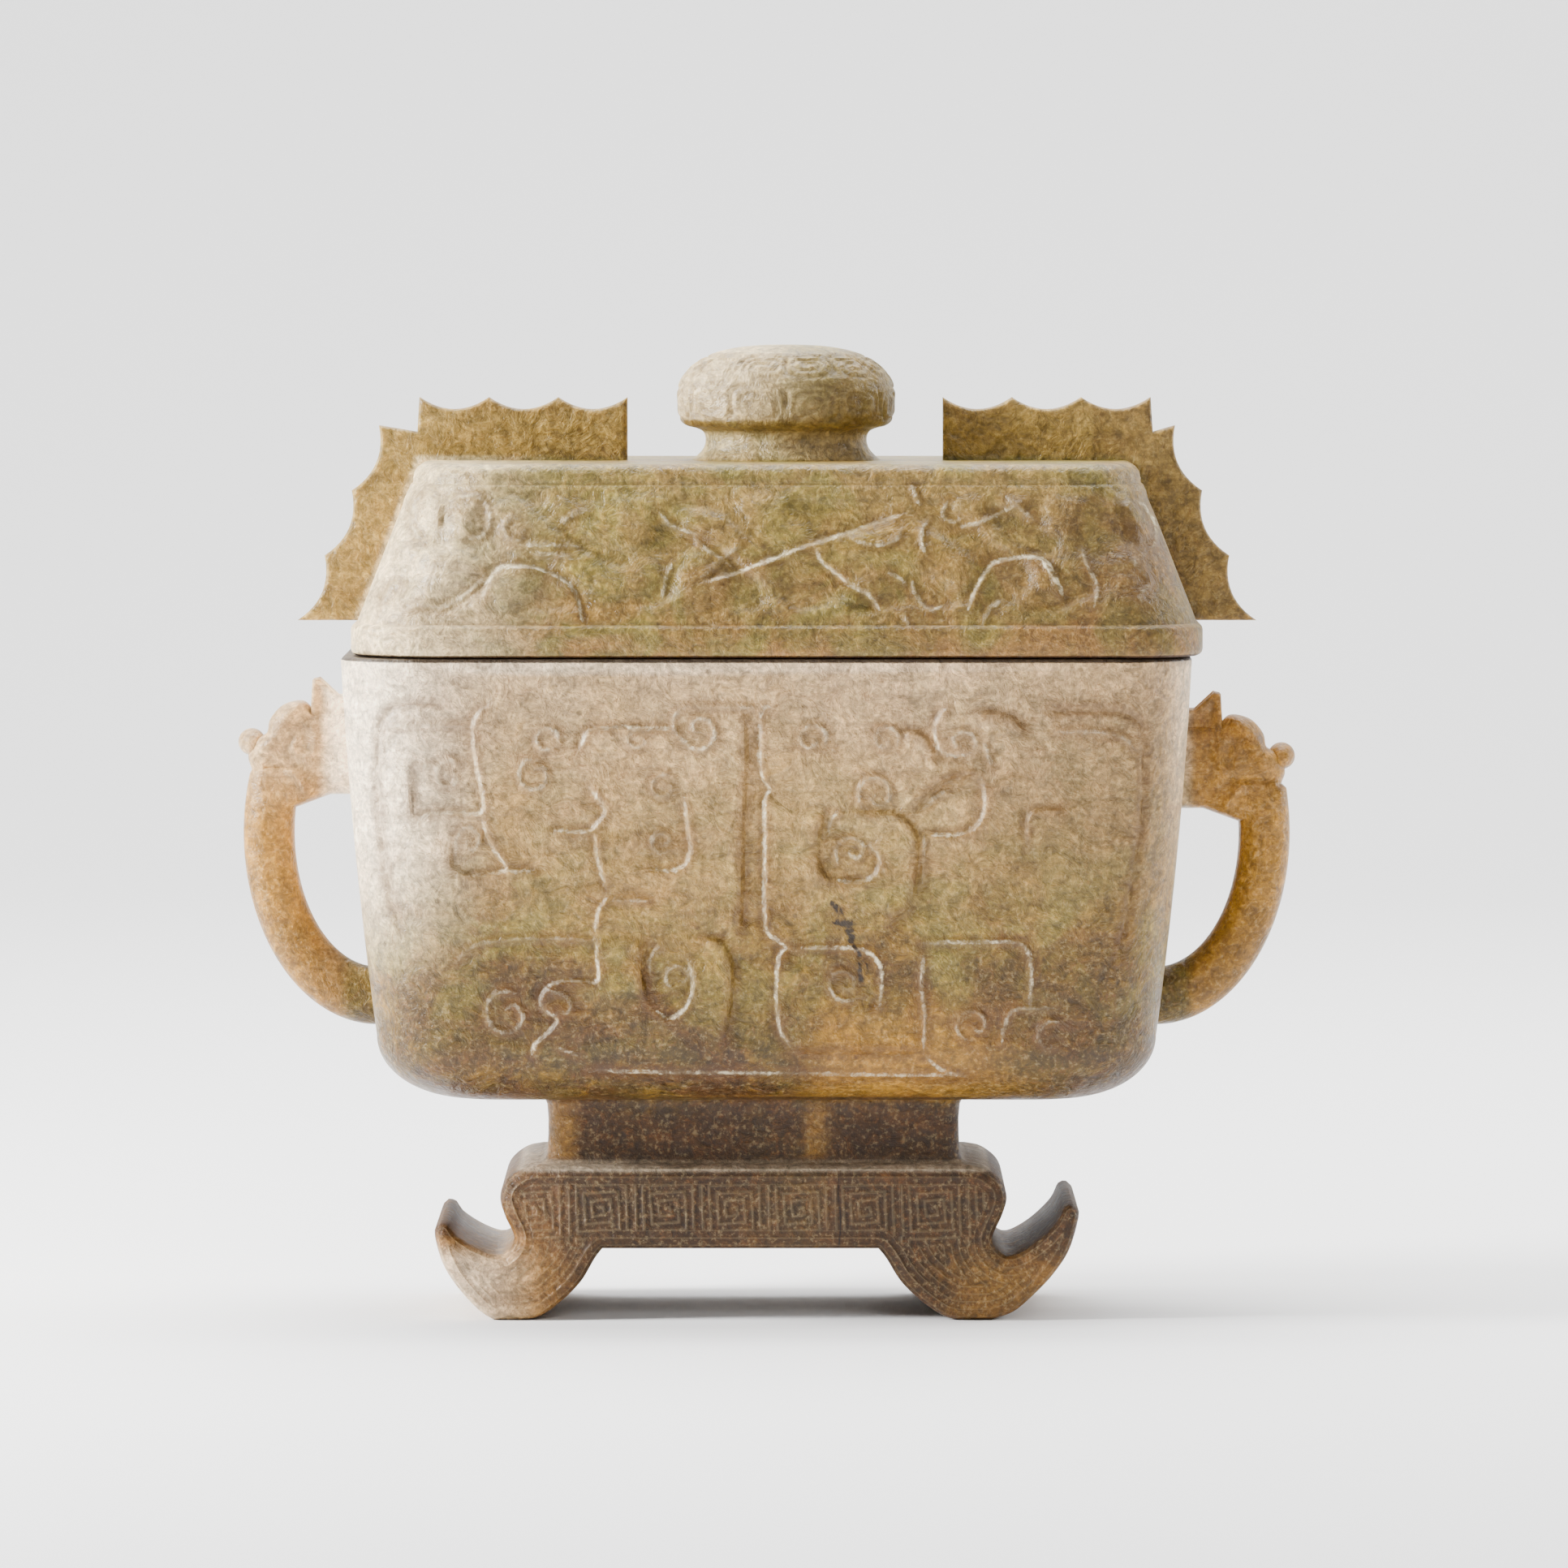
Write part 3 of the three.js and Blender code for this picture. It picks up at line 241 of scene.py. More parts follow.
LID_STROKES = [
    ("left hook", "ridge", 0, 0.9, [(-62.3, 151.9), (-64.1, 149.4), (-64.5, 145.8), (-62.3, 143.1)]),
    ("left hook, inner", "step", -1, -0.5, [(-60.9, 152.5), (-58.7, 150.2), (-59.4, 145)]),
    ("left boss ring", "ridge", 0, 0.6, [(-57.6, 149), (-56.2, 150.9), (-53.2, 151.3), (-50.9, 149.9),
     (-50.1, 146.9), (-51.4, 144.3), (-54.2, 143.5)]),
    ("left boss curl", "ridge", 0, 0.5, [(-44.7, 147.2), (-46.5, 147.2), (-47.6, 145.5), (-46.7, 143.7),
     (-44.7, 143.7), (-43.8, 145.2)]),
    ("left arch", "step", -1, 1.0, [(-51.7, 132.5), (-50.6, 135.5), (-48.8, 138.1), (-46.2, 138.7),
     (-41.7, 138.4), (-37.3, 136.6), (-34.7, 134), (-33.2, 128.7)]),
    ("left tail", "ridge", 0, 0.9, [(-65.3, 130.8), (-62.6, 131.8), (-58.7, 131.3), (-55, 133.3), (-52, 135.8),
     (-50.9, 137.5)]),
    ("left tail, lower", "ridge", 0, 0.5, [(-69.7, 131.8), (-68.2, 134.7), (-66.4, 136)]),
    ("left feather, first", "ridge", 0, 0.7, [(-44.7, 142.4), (-38.8, 142.5), (-33.7, 142.2)]),
    ("left feather, second", "ridge", 0, 0.6, [(-42.5, 140.8), (-38.1, 140.9), (-34.7, 139.9)]),
    ("left feather, third", "ridge", 0, 0.6, [(-37.3, 146), (-35.3, 147.8), (-32.6, 148.7)]),
    ("middle left curl", "ridge", 0, 0.9, [(-19.7, 148.7), (-17.9, 146.5), (-14.6, 145), (-12.1, 144.3)]),
    ("middle left dash", "ridge", 0, 0.9, [(-17.1, 139.3), (-18.2, 136.6), (-19, 132.5)]),
    ("middle cross, first", "ridge", 0, 0.5, [(-13.8, 144.3), (-10.1, 141.3), (-5.7, 138.4)]),
    ("middle cross, second", "ridge", 0, 0.5, [(-12.1, 136.6), (-7.9, 139.9), (-4.3, 143.1)]),
    ("long diagonal", "step", -1, 0.9, [(-10.9, 135.8), (-5.7, 137.5), (-0.6, 139.3), (6, 141.9), (12.6, 144),
     (18.5, 146), (24.4, 147.8)]),
    ("wing", "step", 1, 0.9, [(8.7, 142.1), (10, 139.6), (12.6, 137.5), (15.6, 135.2), (18.5, 133.5),
     (20.7, 130.8)]),
    ("wing, inner", "ridge", 0, 0.6, [(14.8, 143.7), (20, 142.5), (23.7, 143.7), (24.7, 146)]),
    ("wing tip", "ridge", 0, 0.8, [(21.5, 137.7), (24.1, 136.6), (25.6, 135.2)]),
    ("wing claw", "ridge", 0, 0.9, [(24.8, 130.5), (26, 127.4)]),
    ("right dash, first", "ridge", 0, 0.9, [(26.2, 153.4), (27, 151.6), (27.9, 149.6)]),
    ("right dash, second", "ridge", 0, 0.9, [(29.7, 147.2), (28.4, 145.5), (28.2, 143.1), (29, 140.5)]),
    ("right eye", "ridge", 0, 0.7, [(32.9, 150.5), (32, 148.1), (33.5, 146.6), (35.6, 147.2)]),
    ("right feather", "ridge", 0, 0.6, [(34.4, 145.5), (38.4, 146.5), (42.3, 148.1), (46.7, 150.5)]),
    ("right cross", "ridge", 0, 0.5, [(43.5, 151.3), (46.2, 149), (48.7, 146.9)]),
    ("right claw", "ridge", 0, 0.9, [(26.2, 136.6), (27.3, 133.3), (29.7, 130.8), (32.2, 131.8)]),
    ("right arch", "step", -1, 1.0, [(36.5, 130.8), (37.6, 134), (39.4, 137.2), (41.3, 139.3), (45, 140.2),
     (49.4, 140.2), (51.6, 138.4), (52.8, 135.8), (54.1, 132.5)]),
    ("right arch dash", "ridge", 0, 1.0, [(50, 139.9), (51.2, 137.8), (52.9, 135.2)]),
    ("right tail", "ridge", 0, 0.6, [(57, 142.5), (58.2, 138.7), (60, 135.2), (59.4, 131.3)]),
    ("right tail curl", "ridge", 0, 0.5, [(64.8, 141), (67.6, 138.4), (69.4, 135.5), (67.6, 133.3),
     (68.9, 131.3)]),
    ("right hook", "ridge", 0, 0.9, [(67.3, 150.5), (70, 147.8), (71.1, 144), (69.7, 140.8)]),
    ("right hook, inner", "step", 1, -0.4, [(63.8, 149.9), (65.9, 146.5), (67, 142.5)]),
    ("right foot line", "ridge", 0, 0.5, [(39.1, 128.1), (40.3, 130.8), (42.9, 132.8)]),
]


# Curves and distances

def mix(low, high, share):
    return low + (high - low) * share


def soft_step(low, high, value):
    share = np.clip((value - low) / (high - low), 0, 1)
    return share * share * (3 - 2 * share)


def smooth_line(points, spacing=0.5):
    """A Catmull-Rom line through the points."""
    points = np.array(points, float)
    if len(points) == 2:
        steps = max(2, int(np.linalg.norm(points[1] - points[0]) / spacing))
        return np.array([mix(points[0], points[1], k / steps) for k in range(steps + 1)])
    padded = np.vstack([2 * points[0] - points[1], points, 2 * points[-1] - points[-2]])
    line = []
    for a, b, c, d in zip(padded, padded[1:], padded[2:], padded[3:]):
        steps = max(1, int(np.linalg.norm(c - b) / spacing))
        for k in range(steps):
            t = k / steps
            line.append(0.5 * (2 * b + (c - a) * t + (2 * a - 5 * b + 4 * c - d) * t * t
                               + (3 * b - a - 3 * c + d) * t ** 3))
    line.append(points[-1])
    return np.array(line)


def gap_to_line(x, z, line):
    """Distance to a line, the side of it (above 0 is left), and how far along it the nearest point is."""
    start, run = line[:-1], np.diff(line, axis=0)
    length = np.maximum(np.hypot(run[:, 0], run[:, 1]), 1e-6)
    off_x = x[:, None] - start[None, :, 0]
    off_z = z[:, None] - start[None, :, 1]
    share = np.clip((off_x * run[:, 0] + off_z * run[:, 1]) / length ** 2, 0, 1)
    gap_x = off_x - share * run[:, 0]
    gap_z = off_z - share * run[:, 1]
    gaps = np.hypot(gap_x, gap_z)
    nearest = gaps.argmin(1)
    pick = np.arange(len(x))
    side = np.sign(run[nearest, 0] * gap_z[pick, nearest] - run[nearest, 1] * gap_x[pick, nearest])
    along = (np.concatenate([[0], np.cumsum(length)[:-1]])[nearest]
             + share[pick, nearest] * length[nearest])
    return gaps[pick, nearest], side, along, length.sum()


# Farthest gap that is stored, and the widths of the carving: a step's edge and how it fades above and below it,
# a ridge and the trough beside it, a groove
GAP_REACH = 4.0
STEP_EDGE = 0.34
STEP_ABOVE = 4.0
STEP_BELOW = 2.2
RIDGE_WIDTH = 0.55
RIDGE_TROUGH = 1.8
GROOVE_WIDTH = 0.5
# Walls whose outward turn in y passes this are carved
FACING = 0.15


def carve(x, z, strokes, lift):
    """Height of the carving at each point, the gap to the nearest line, and that line's tone."""
    height = np.zeros(len(x))
    gap = np.full(len(x), GAP_REACH)
    tone = np.zeros(len(x))
    for _, form, raised, shade, points in strokes:
        line = smooth_line(points)
        low, high = line.min(0) - 8, line.max(0) + 8
        near = np.flatnonzero((x > low[0]) & (x < high[0]) & (z > low[1]) & (z < high[1]))
        if not len(near):
            continue
        away, side, along, length = gap_to_line(x[near], z[near], line)
        fade = min(3.0, 0.25 * length)
        taper = soft_step(0, fade, np.minimum(along, length - along) + 0.25 * fade)
        wear = 0.8 + 0.2 * np.sin(0.8 * along + points[0][0])
        if form == "step":
            signed = side * raised * away
            upper = 0.5 + 0.5 * np.tanh(signed / STEP_EDGE)
            change = upper * np.exp(-away / STEP_ABOVE) - 0.9 * (1 - upper) * np.exp(-away / STEP_BELOW)
        elif form == "ridge":
            change = 0.6 * np.exp(-(away / RIDGE_WIDTH) ** 2) - 0.3 * np.exp(-(away / RIDGE_TROUGH) ** 2)
        else:
            change = -0.6 * np.exp(-(away / GROOVE_WIDTH) ** 2)
        height[near] += lift * change * taper * wear
        reach = away + (1 - taper) * 0.35
        closer = reach < gap[near]
        gap[near[closer]] = reach[closer]
        tone[near[closer]] = shade
    return height, gap, tone


# Closed forms from rings

def ring_columns(front, front_corner, side, back_corner, back):
    """Columns round a rounded rectangle, counter-clockwise from the front left: corner centre and turn."""
    columns = []

    def straight(start, end, turn, count):
        for k in range(count):
            share = (k + 1) / (count + 1)
            columns.append((mix(start[0], end[0], share), mix(start[1], end[1], share), *turn))

    def corner(centre, degrees, count):
        for k in range(count + 1):
            angle = math.radians(degrees + 90 * k / count)
            columns.append((*centre, math.cos(angle), math.sin(angle)))

    straight((-1, -1), (1, -1), (0, -1), front)
    corner((1, -1), -90, front_corner)
    straight((1, -1), (1, 1), (1, 0), side)
    corner((1, 1), 0, back_corner)
    straight((1, 1), (-1, 1), (0, 1), back)
    corner((-1, 1), 90, back_corner)
    straight((-1, 1), (-1, -1), (-1, 0), side)
    corner((-1, -1), 180, front_corner)
    return np.array(columns)


def grid_object(name, columns, rows):
    """A flat grid with one column of faces for each ring column, and which column and row a vertex is in."""
    shape = bmesh.new()
    bmesh.ops.create_grid(shape, x_segments=columns, y_segments=rows - 1, size=0.5)
    mesh = bpy.data.meshes.new(name)
    shape.to_mesh(mesh)
    shape.free()
    flat = np.zeros(len(mesh.vertices) * 3)
    mesh.vertices.foreach_get("co", flat)
    flat = flat.reshape(-1, 3)
    column = np.rint((flat[:, 0] + 0.5) * columns).astype(int) % columns
    row = np.rint((flat[:, 1] + 0.5) * (rows - 1)).astype(int)
    return mesh, column, row


def set_points(mesh, points):
    mesh.vertices.foreach_set("co", np.ascontiguousarray(points, float).ravel())
    mesh.update()


def get_points(mesh):
    points = np.zeros(len(mesh.vertices) * 3)
    mesh.vertices.foreach_get("co", points)
    return points.reshape(-1, 3)


def wrapped(name, rings, columns, shape_change=None):
    """Wraps a grid round a stack of rounded rectangles: half length, half depth, corner, level, centre."""
    rings = np.array(rings, float)
    mesh, column, row = grid_object(name, len(columns), len(rings))
    half_length, half_depth, corner, level, centre = rings[row].T
    side_x, side_y, turn_x, turn_y = columns[column].T
    corner = np.minimum(corner, np.minimum(half_length, half_depth))
    x = side_x * (half_length - corner) + turn_x * corner
    y = side_y * (half_depth - corner) + turn_y * corner
    points = np.stack([x + centre, y, level], 1)
    if shape_change:
        points = shape_change(points, np.stack([turn_x, turn_y], 1), row, column)
    set_points(mesh, points)
    return closed(mesh)


def closed(mesh):
    """Merges seams and poles, so that the mesh is one closed shell with faces outwards."""
    shape = bmesh.new()
    shape.from_mesh(mesh)
    bmesh.ops.remove_doubles(shape, verts=shape.verts, dist=1e-4)
    bmesh.ops.dissolve_degenerate(shape, edges=shape.edges, dist=1e-5)
    loose = [edge for edge in shape.edges if not edge.link_faces]
    bmesh.ops.delete(shape, geom=loose, context="EDGES")
    shape.to_mesh(mesh)
    shape.free()
    return mesh


# Closed plates from an outline

def inside_outline(x, z, outline):
    within = np.zeros(len(x), bool)
    previous = outline[-1]
    for point in outline:
        crosses = (point[1] > z) != (previous[1] > z)
        rise = previous[1] - point[1]
        at = point[0] + (z - point[1]) * (previous[0] - point[0]) / (rise if abs(rise) > 1e-9 else 1e-9)
        within ^= crosses & (x < at)
        previous = point
    return within


def outline_gap(x, z, outline):
    ring = np.vstack([outline, outline[:1]])
    gap = np.empty(len(x))
    for start in range(0, len(x), 4000):
        part = slice(start, start + 4000)
        gap[part] = gap_to_line(x[part], z[part], ring)[0]
    return gap


def even_outline(points, spacing):
    """The same closed outline with points about evenly spaced; its corners stay."""
    ring = np.vstack([points, points[:1]])
    even = []
    for a, b in zip(ring, ring[1:]):
        steps = max(1, round(float(np.linalg.norm(b - a)) / spacing))
        even += [mix(a, b, k / steps) for k in range(steps)]
    return np.array(even)


def plate(name, outline, spacing, half_thickness, rim_rows=(0.3, 0.75, 1.3, 2.0), middle=0.0):
    """Fills an outline, gives it two faces and bends them by the gap to the edge."""
    outline = even_outline(np.array(outline, float), spacing)
    ring = np.vstack([outline[-1:], outline, outline[:1]])
    along = ring[2:] - ring[:-2]
    inward = np.stack([-along[:, 1], along[:, 0]], 1) / np.maximum(np.hypot(*along.T), 1e-9)[:, None]
    inner = []
    for depth in rim_rows:
        row = outline + inward * depth
        true_gap = outline_gap(row[:, 0], row[:, 1], outline)
        keep = inside_outline(row[:, 0], row[:, 1], outline) & (true_gap > depth * 0.93)
        inner.append(row[keep])
    low, high = outline.min(0), outline.max(0)
    grid = np.stack(np.meshgrid(np.arange(low[0], high[0], spacing), np.arange(low[1], high[1], spacing)), -1)
    grid = grid.reshape(-1, 2)
    grid = grid[inside_outline(grid[:, 0], grid[:, 1], outline)]
    grid = grid[outline_gap(grid[:, 0], grid[:, 1], outline) > rim_rows[-1] + 0.35 * spacing]
    inner.append(grid)
    every = np.vstack([outline, *inner])
    count = len(outline)
    edges = [(k, (k + 1) % count) for k in range(count)]
    filled = delaunay_2d_cdt([tuple(p) for p in every], edges, [], 1, 1e-5)
    shape = bmesh.new()
    corners = [shape.verts.new((p.x, 0, p.y)) for p in filled[0]]
    for face in filled[2]:
        shape.faces.new([corners[k] for k in face])
    shape.normal_update()
    bmesh.ops.solidify(shape, geom=shape.faces[:], thickness=1)
    bmesh.ops.recalc_face_normals(shape, faces=shape.faces)
    mesh = bpy.data.meshes.new(name)
    shape.to_mesh(mesh)
    shape.free()
    points = get_points(mesh)
    face_side = np.sign(points[:, 1] - (points[:, 1].min() + points[:, 1].max()) / 2)
    gap = outline_gap(points[:, 0], points[:, 2], outline)
    waves = ground_by_hand(points[:, 0], points[:, 2]) * soft_step(0.5, 2.5, gap)
    points[:, 1] = middle + face_side * (half_thickness(points[:, 0], points[:, 2], gap, face_side) + waves)
    set_points(mesh, points)
    return mesh


def ground_by_hand(along, up):
    """The slight waves that hand grinding leaves in a flat."""
    return 0.03 * (np.sin(1.3 * along + 0.7 * np.sin(0.9 * up)) + np.sin(1.7 * up + 0.6 * np.sin(1.1 * along)))


def rounded_edge(gap, half, radius):
    """Half thickness near an edge that is rounded over."""
    left = np.clip(radius - gap, 0, radius)
    return half - radius + np.sqrt(radius ** 2 - left ** 2)


def ball(name, centre, radii):
    shape = bmesh.new()
    bmesh.ops.create_uvsphere(shape, u_segments=40, v_segments=24, radius=1)
    bmesh.ops.scale(shape, vec=radii, verts=shape.verts)
    bmesh.ops.translate(shape, vec=centre, verts=shape.verts)
    mesh = bpy.data.meshes.new(name)
    shape.to_mesh(mesh)
    shape.free()
    return mesh


def mirrored(mesh):
    shape = bmesh.new()
    shape.from_mesh(mesh)
    bmesh.ops.scale(shape, vec=(-1, 1, 1), verts=shape.verts)
    bmesh.ops.reverse_faces(shape, faces=shape.faces)
    shape.to_mesh(mesh)
    shape.free()
    return mesh


# One solid from several

def hold(mesh):
    piece = bpy.data.objects.new(mesh.name, mesh)
    bpy.context.scene.collection.objects.link(piece)
    return piece


def applied(piece):
    """The piece's mesh with its modifiers worked in."""
    graph = bpy.context.evaluated_depsgraph_get()
    mesh = bpy.data.meshes.new_from_object(piece.evaluated_get(graph))
    piece.modifiers.clear()
    old = piece.data
    piece.data = mesh
    bpy.data.meshes.remove(old)


def fused(meshes, name):
    whole = hold(meshes[0])
    whole.name = name
    for mesh in meshes[1:]:
        part = hold(mesh)
        join = whole.modifiers.new("join", "BOOLEAN")
        join.operation = "UNION"
        join.solver = "MANIFOLD"
        join.object = part
        applied(whole)
        bpy.data.objects.remove(part)
        bpy.data.meshes.remove(mesh)
    return whole


def triangles(mesh):
    return sum(len(face.vertices) - 2 for face in mesh.polygons)


def thinned(mesh, most):
    """Takes triangles away where the surface is plain, until the mesh has no more than the most allowed."""
    count = triangles(mesh)
    if count > most:
        held = hold(mesh)
        thin = held.modifiers.new("thin", "DECIMATE")
        thin.ratio = most / count
        applied(held)
        mesh = held.data
        bpy.data.objects.remove(held)
    return mesh


def paint(piece, name, values):
    """Stores four numbers at each point for the material to read."""
    layer = piece.data.color_attributes.new(name, "FLOAT_COLOR", "POINT")
    layer.data.foreach_set("color", np.ascontiguousarray(values, float).ravel())


def finished(piece, node, material):
    mesh = piece.data
    mesh.name = piece.name
    set_points(mesh, get_points(mesh) * MM)
    mesh.polygons.foreach_set("use_smooth", np.ones(len(mesh.polygons), bool))
    mesh.set_sharp_from_angle(angle=math.radians(38))
    mesh.materials.clear()
    mesh.materials.append(material)
    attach(piece, "root")
    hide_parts(node)


# Body

def rolled_in(radius, height, reach=None):
    """How far a rounded edge has drawn in at a height above its lowest line."""
    left = np.clip(radius - height, 0, radius) / radius
    return (reach or radius) * (1 - np.sqrt(1 - left ** 2))


def bottom_roll(z):
    return rolled_in(BOTTOM_ROLL, z - BODY_BOTTOM, BOTTOM_ROLL_REACH)


def body_half(rim_size, base_size, z):
    share = np.maximum(0, (z - BODY_BOTTOM - BOTTOM_ROLL) / (RIM - BODY_BOTTOM - BOTTOM_ROLL))
    return mix(base_size, rim_size, share) / 2 - bottom_roll(z) + 4 * BODY_BULGE * share * (1 - share)


def body_ring(z, inset=0.0):
    corner = BODY_CORNER - bottom_roll(z) / 2 - inset
    return (body_half(RIM_LENGTH, BASE_LENGTH, z) - inset, body_half(RIM_DEPTH, BASE_DEPTH, z) - inset,
            max(corner, 0.5), z, 0)


def body_rings():
    rings = [(0, 0, 0, BODY_BOTTOM, 0), (25, 12, 0.6, BODY_BOTTOM, 0), (50, 22, 1, BODY_BOTTOM, 0)]
    for k in range(31):
        rings.append(body_ring(BODY_BOTTOM + BOTTOM_ROLL * (1 - math.cos(math.radians(3 * k)))))
    wall_rows = 150
    top = RIM - RIM_ROUND
    for k in range(1, wall_rows + 1):
        rings.append(body_ring(mix(BODY_BOTTOM + BOTTOM_ROLL, top, k / wall_rows)))
    outer = len(rings)
    for degrees in (22, 45, 68, 90):
        angle = math.radians(degrees)
        half_length, half_depth, corner, _, _ = body_ring(top)
        pull = RIM_ROUND * (1 - math.cos(angle))
        rings.append((half_length - pull, half_depth - pull, corner - pull, top + RIM_ROUND * math.sin(angle), 0))
    for degrees in (90, 60, 30, 0):
        angle = math.radians(degrees)
        half_length, half_depth, corner, _, _ = body_ring(RIM, WALL)
        back_off = 0.6 * (1 - math.cos(angle))
        rings.append((half_length + back_off, half_depth + back_off, corner + back_off,
                      RIM - 0.6 * (1 - math.sin(angle)), 0))
    floor = BODY_BOTTOM + FLOOR
    for k in range(1, 13):
        rings.append(body_ring(mix(RIM - 0.6, floor + CAVITY_ROLL, k / 12), WALL))
    for k in range(1, 7):
        z = floor + CAVITY_ROLL * (1 - math.sin(math.radians(15 * k)))
        rings.append(body_ring(z, WALL + float(rolled_in(CAVITY_ROLL, z - floor))))
    rings += [(40, 18, 1, floor, 0), (20, 9, 0.5, floor, 0), (0, 0, 0, floor, 0)]
    return rings, outer


def plainer(strokes):
    """The back repeats the main curls only."""
    return [stroke for stroke in strokes if abs(stroke[3]) >= 0.45]


def body_mesh(lift):
    rings, outer = body_rings()

    def carved(points, turn, row, column):
        shown = (row > 3) & (row < outer - 6)
        front = np.flatnonzero(shown & (turn[:, 1] < -FACING))
        back = np.flatnonzero(shown & (turn[:, 1] > FACING))
        limit = np.maximum(np.abs(points[:, 1]), RIM_DEPTH / 2 + 0.15)
        front_lift = carve(points[front, 0], points[front, 2], BODY_STROKES, lift)[0]
        back_lift = carve(-points[back, 0], points[back, 2], plainer(BODY_STROKES), lift)[0]
        points[front, :2] += turn[front] * front_lift[:, None]
        points[back, :2] += turn[back] * back_lift[:, None]
        points[:, 1] = np.clip(points[:, 1], -limit, limit)
        return points

    return wrapped("body", rings, ring_columns(290, 46, 46, 18, 130), carved)


def neck_mesh():
    rings = [(0, 0, 0, STAND_TOP - 1.2, STAND_CENTRE)]
    profile = [(1.4, STAND_TOP - 1.2), (1.4, STAND_TOP), (0.7, STAND_TOP + 0.3), (0.25, STAND_TOP + 0.8),
               (0, STAND_TOP + 1.6), (-0.2, STAND_TOP + 5), (-0.2, STAND_TOP + 8), (0, BODY_BOTTOM - 1.2),
               (0.4, BODY_BOTTOM - 0.3), (0.9, BODY_BOTTOM + 0.2), (0.9, BODY_BOTTOM + 1)]
    for grow, z in profile:
        rings.append((NECK_LENGTH / 2 + grow, NECK_DEPTH / 2 + grow, NECK_CORNER, z, STAND_CENTRE))
    rings.append((0, 0, 0, BODY_BOTTOM + 1, STAND_CENTRE))

    def waved(points, turn, row, column):
        flat = (row > 4) & (row < len(rings) - 5)
        points[flat, :2] += (turn * ground_by_hand(points[:, 0] + points[:, 1], points[:, 2])[:, None])[flat]
        return points

    return wrapped("neck", rings, ring_columns(80, 8, 40, 8, 60), waved)


# Stand

FEET = {
    -1: {"inner": 27.7, "sole": 44.6, "reach": 58.4, "tip": 17.8},
    1: {"inner": 22.9, "sole": 40.6, "reach": 59.6, "tip": 21.2},
}
SHOULDER_REACH = 46.4
SHOULDER_WAIST = 43.8
NOTCH = STAND_GAP - 1.2
SOLE_WIDTH = 6.0
HOOK_TIP = 2.0


def foot_outline(inner, sole, reach, tip):
    """Shoulder, notch, upturned tip, sole and inner curve of one foot, seen from the front."""
    outer = [
        (NECK_LENGTH / 2 + 1.6, STAND_TOP), (NECK_LENGTH / 2 + 4.6, STAND_TOP - 0.7),
        (SHOULDER_REACH - 1, STAND_TOP - 3), (SHOULDER_REACH, STAND_TOP - 6),
        (SHOULDER_REACH - 0.9, STAND_TOP - 9.4), (SHOULDER_WAIST, STAND_GAP + 2),
        (SHOULDER_WAIST + 1.3, NOTCH + 0.8), (SHOULDER_WAIST + 3.6, NOTCH),
        (mix(SHOULDER_WAIST + 3.6, reach, 0.34), mix(NOTCH, tip, 0.24)),
        (mix(SHOULDER_WAIST + 3.6, reach, 0.66), mix(NOTCH, tip, 0.64)),
        (reach - HOOK_TIP * 1.3, tip - HOOK_TIP * 0.2), (reach - HOOK_TIP * 0.55, tip),
        (reach - HOOK_TIP * 0.1, tip - HOOK_TIP * 0.4), (reach, tip - HOOK_TIP * 1.2),
        (mix(sole, reach, 0.91), tip * 0.61), (mix(sole, reach, 0.76), tip * 0.4),
        (mix(sole, reach, 0.56), tip * 0.21), (mix(sole, reach, 0.37), tip * 0.07),
        (sole + SOLE_WIDTH / 2, 0),
    ]
    heel = sole - SOLE_WIDTH / 2
    under = [
        (heel, 0), (mix(inner, heel, 0.8), STAND_GAP * 0.06), (mix(inner, heel, 0.53), STAND_GAP * 0.27),
        (mix(inner, heel, 0.28), STAND_GAP * 0.54), (mix(inner, heel, 0.1), STAND_GAP * 0.86),
        (inner, STAND_GAP),
    ]
    return np.vstack([smooth_line(outer, 0.7), smooth_line(under, 0.7)])


def stand_outline():
    left = foot_outline(**FEET[-1]) * [-1, 1] + [STAND_CENTRE, 0]
    right = foot_outline(**FEET[1]) + [STAND_CENTRE, 0]
    return np.vstack([left, right[::-1]])


# Square spirals cut in the stand: size of one, from line to line, level of the lowest, border round them, depth
KEY_WIDTH = 12.2
KEY_HEIGHT = 9.8
KEY_PITCH = 1.4
KEY_BASE = 15.5
KEY_BORDER = 3.4
KEY_DEPTH = 0.2


def incised(x, z, gap):
    """The stand's lines: square spirals in the band, and lines that run round the outline and the feet."""
    across = (x / KEY_WIDTH % 1 - 0.5) * KEY_WIDTH
    up = ((z - KEY_BASE) / KEY_HEIGHT % 1 - 0.5) * KEY_HEIGHT
    spiral = (np.maximum(np.abs(across), np.abs(up)) / KEY_PITCH + np.arctan2(up, across) / (2 * math.pi)) % 1
    key = soft_step(0.22, 0.42, np.minimum(spiral, 1 - spiral))
    key = key * soft_step(KEY_BORDER - 0.2, KEY_BORDER + 0.2, gap)
    band = soft_step(STAND_GAP + 0.4, STAND_GAP + 1.4, z)
    turn = gap / KEY_PITCH % 1
    border = soft_step(0.34, 0.46, np.minimum(turn, 1 - turn)) * soft_step(0.5, 0.8, gap)
    border = border * np.maximum(1 - soft_step(KEY_BORDER, KEY_BORDER + 0.2, gap), 1 - band)
    return np.maximum(key * band, border)


def stand_mesh():
    outline = stand_outline()

    def half_thickness(x, z, gap, face_side):
        return rounded_edge(gap, STAND_DEPTH / 2, STAND_ROUND) + KEY_DEPTH * (incised(x, z, gap) - 1)

    return plate("stand", outline, 0.42, half_thickness, (0.25, 0.5, 0.7, 0.95, 1.2, 1.45, 1.7, 1.95, 2.2, 2.5))


# Handles

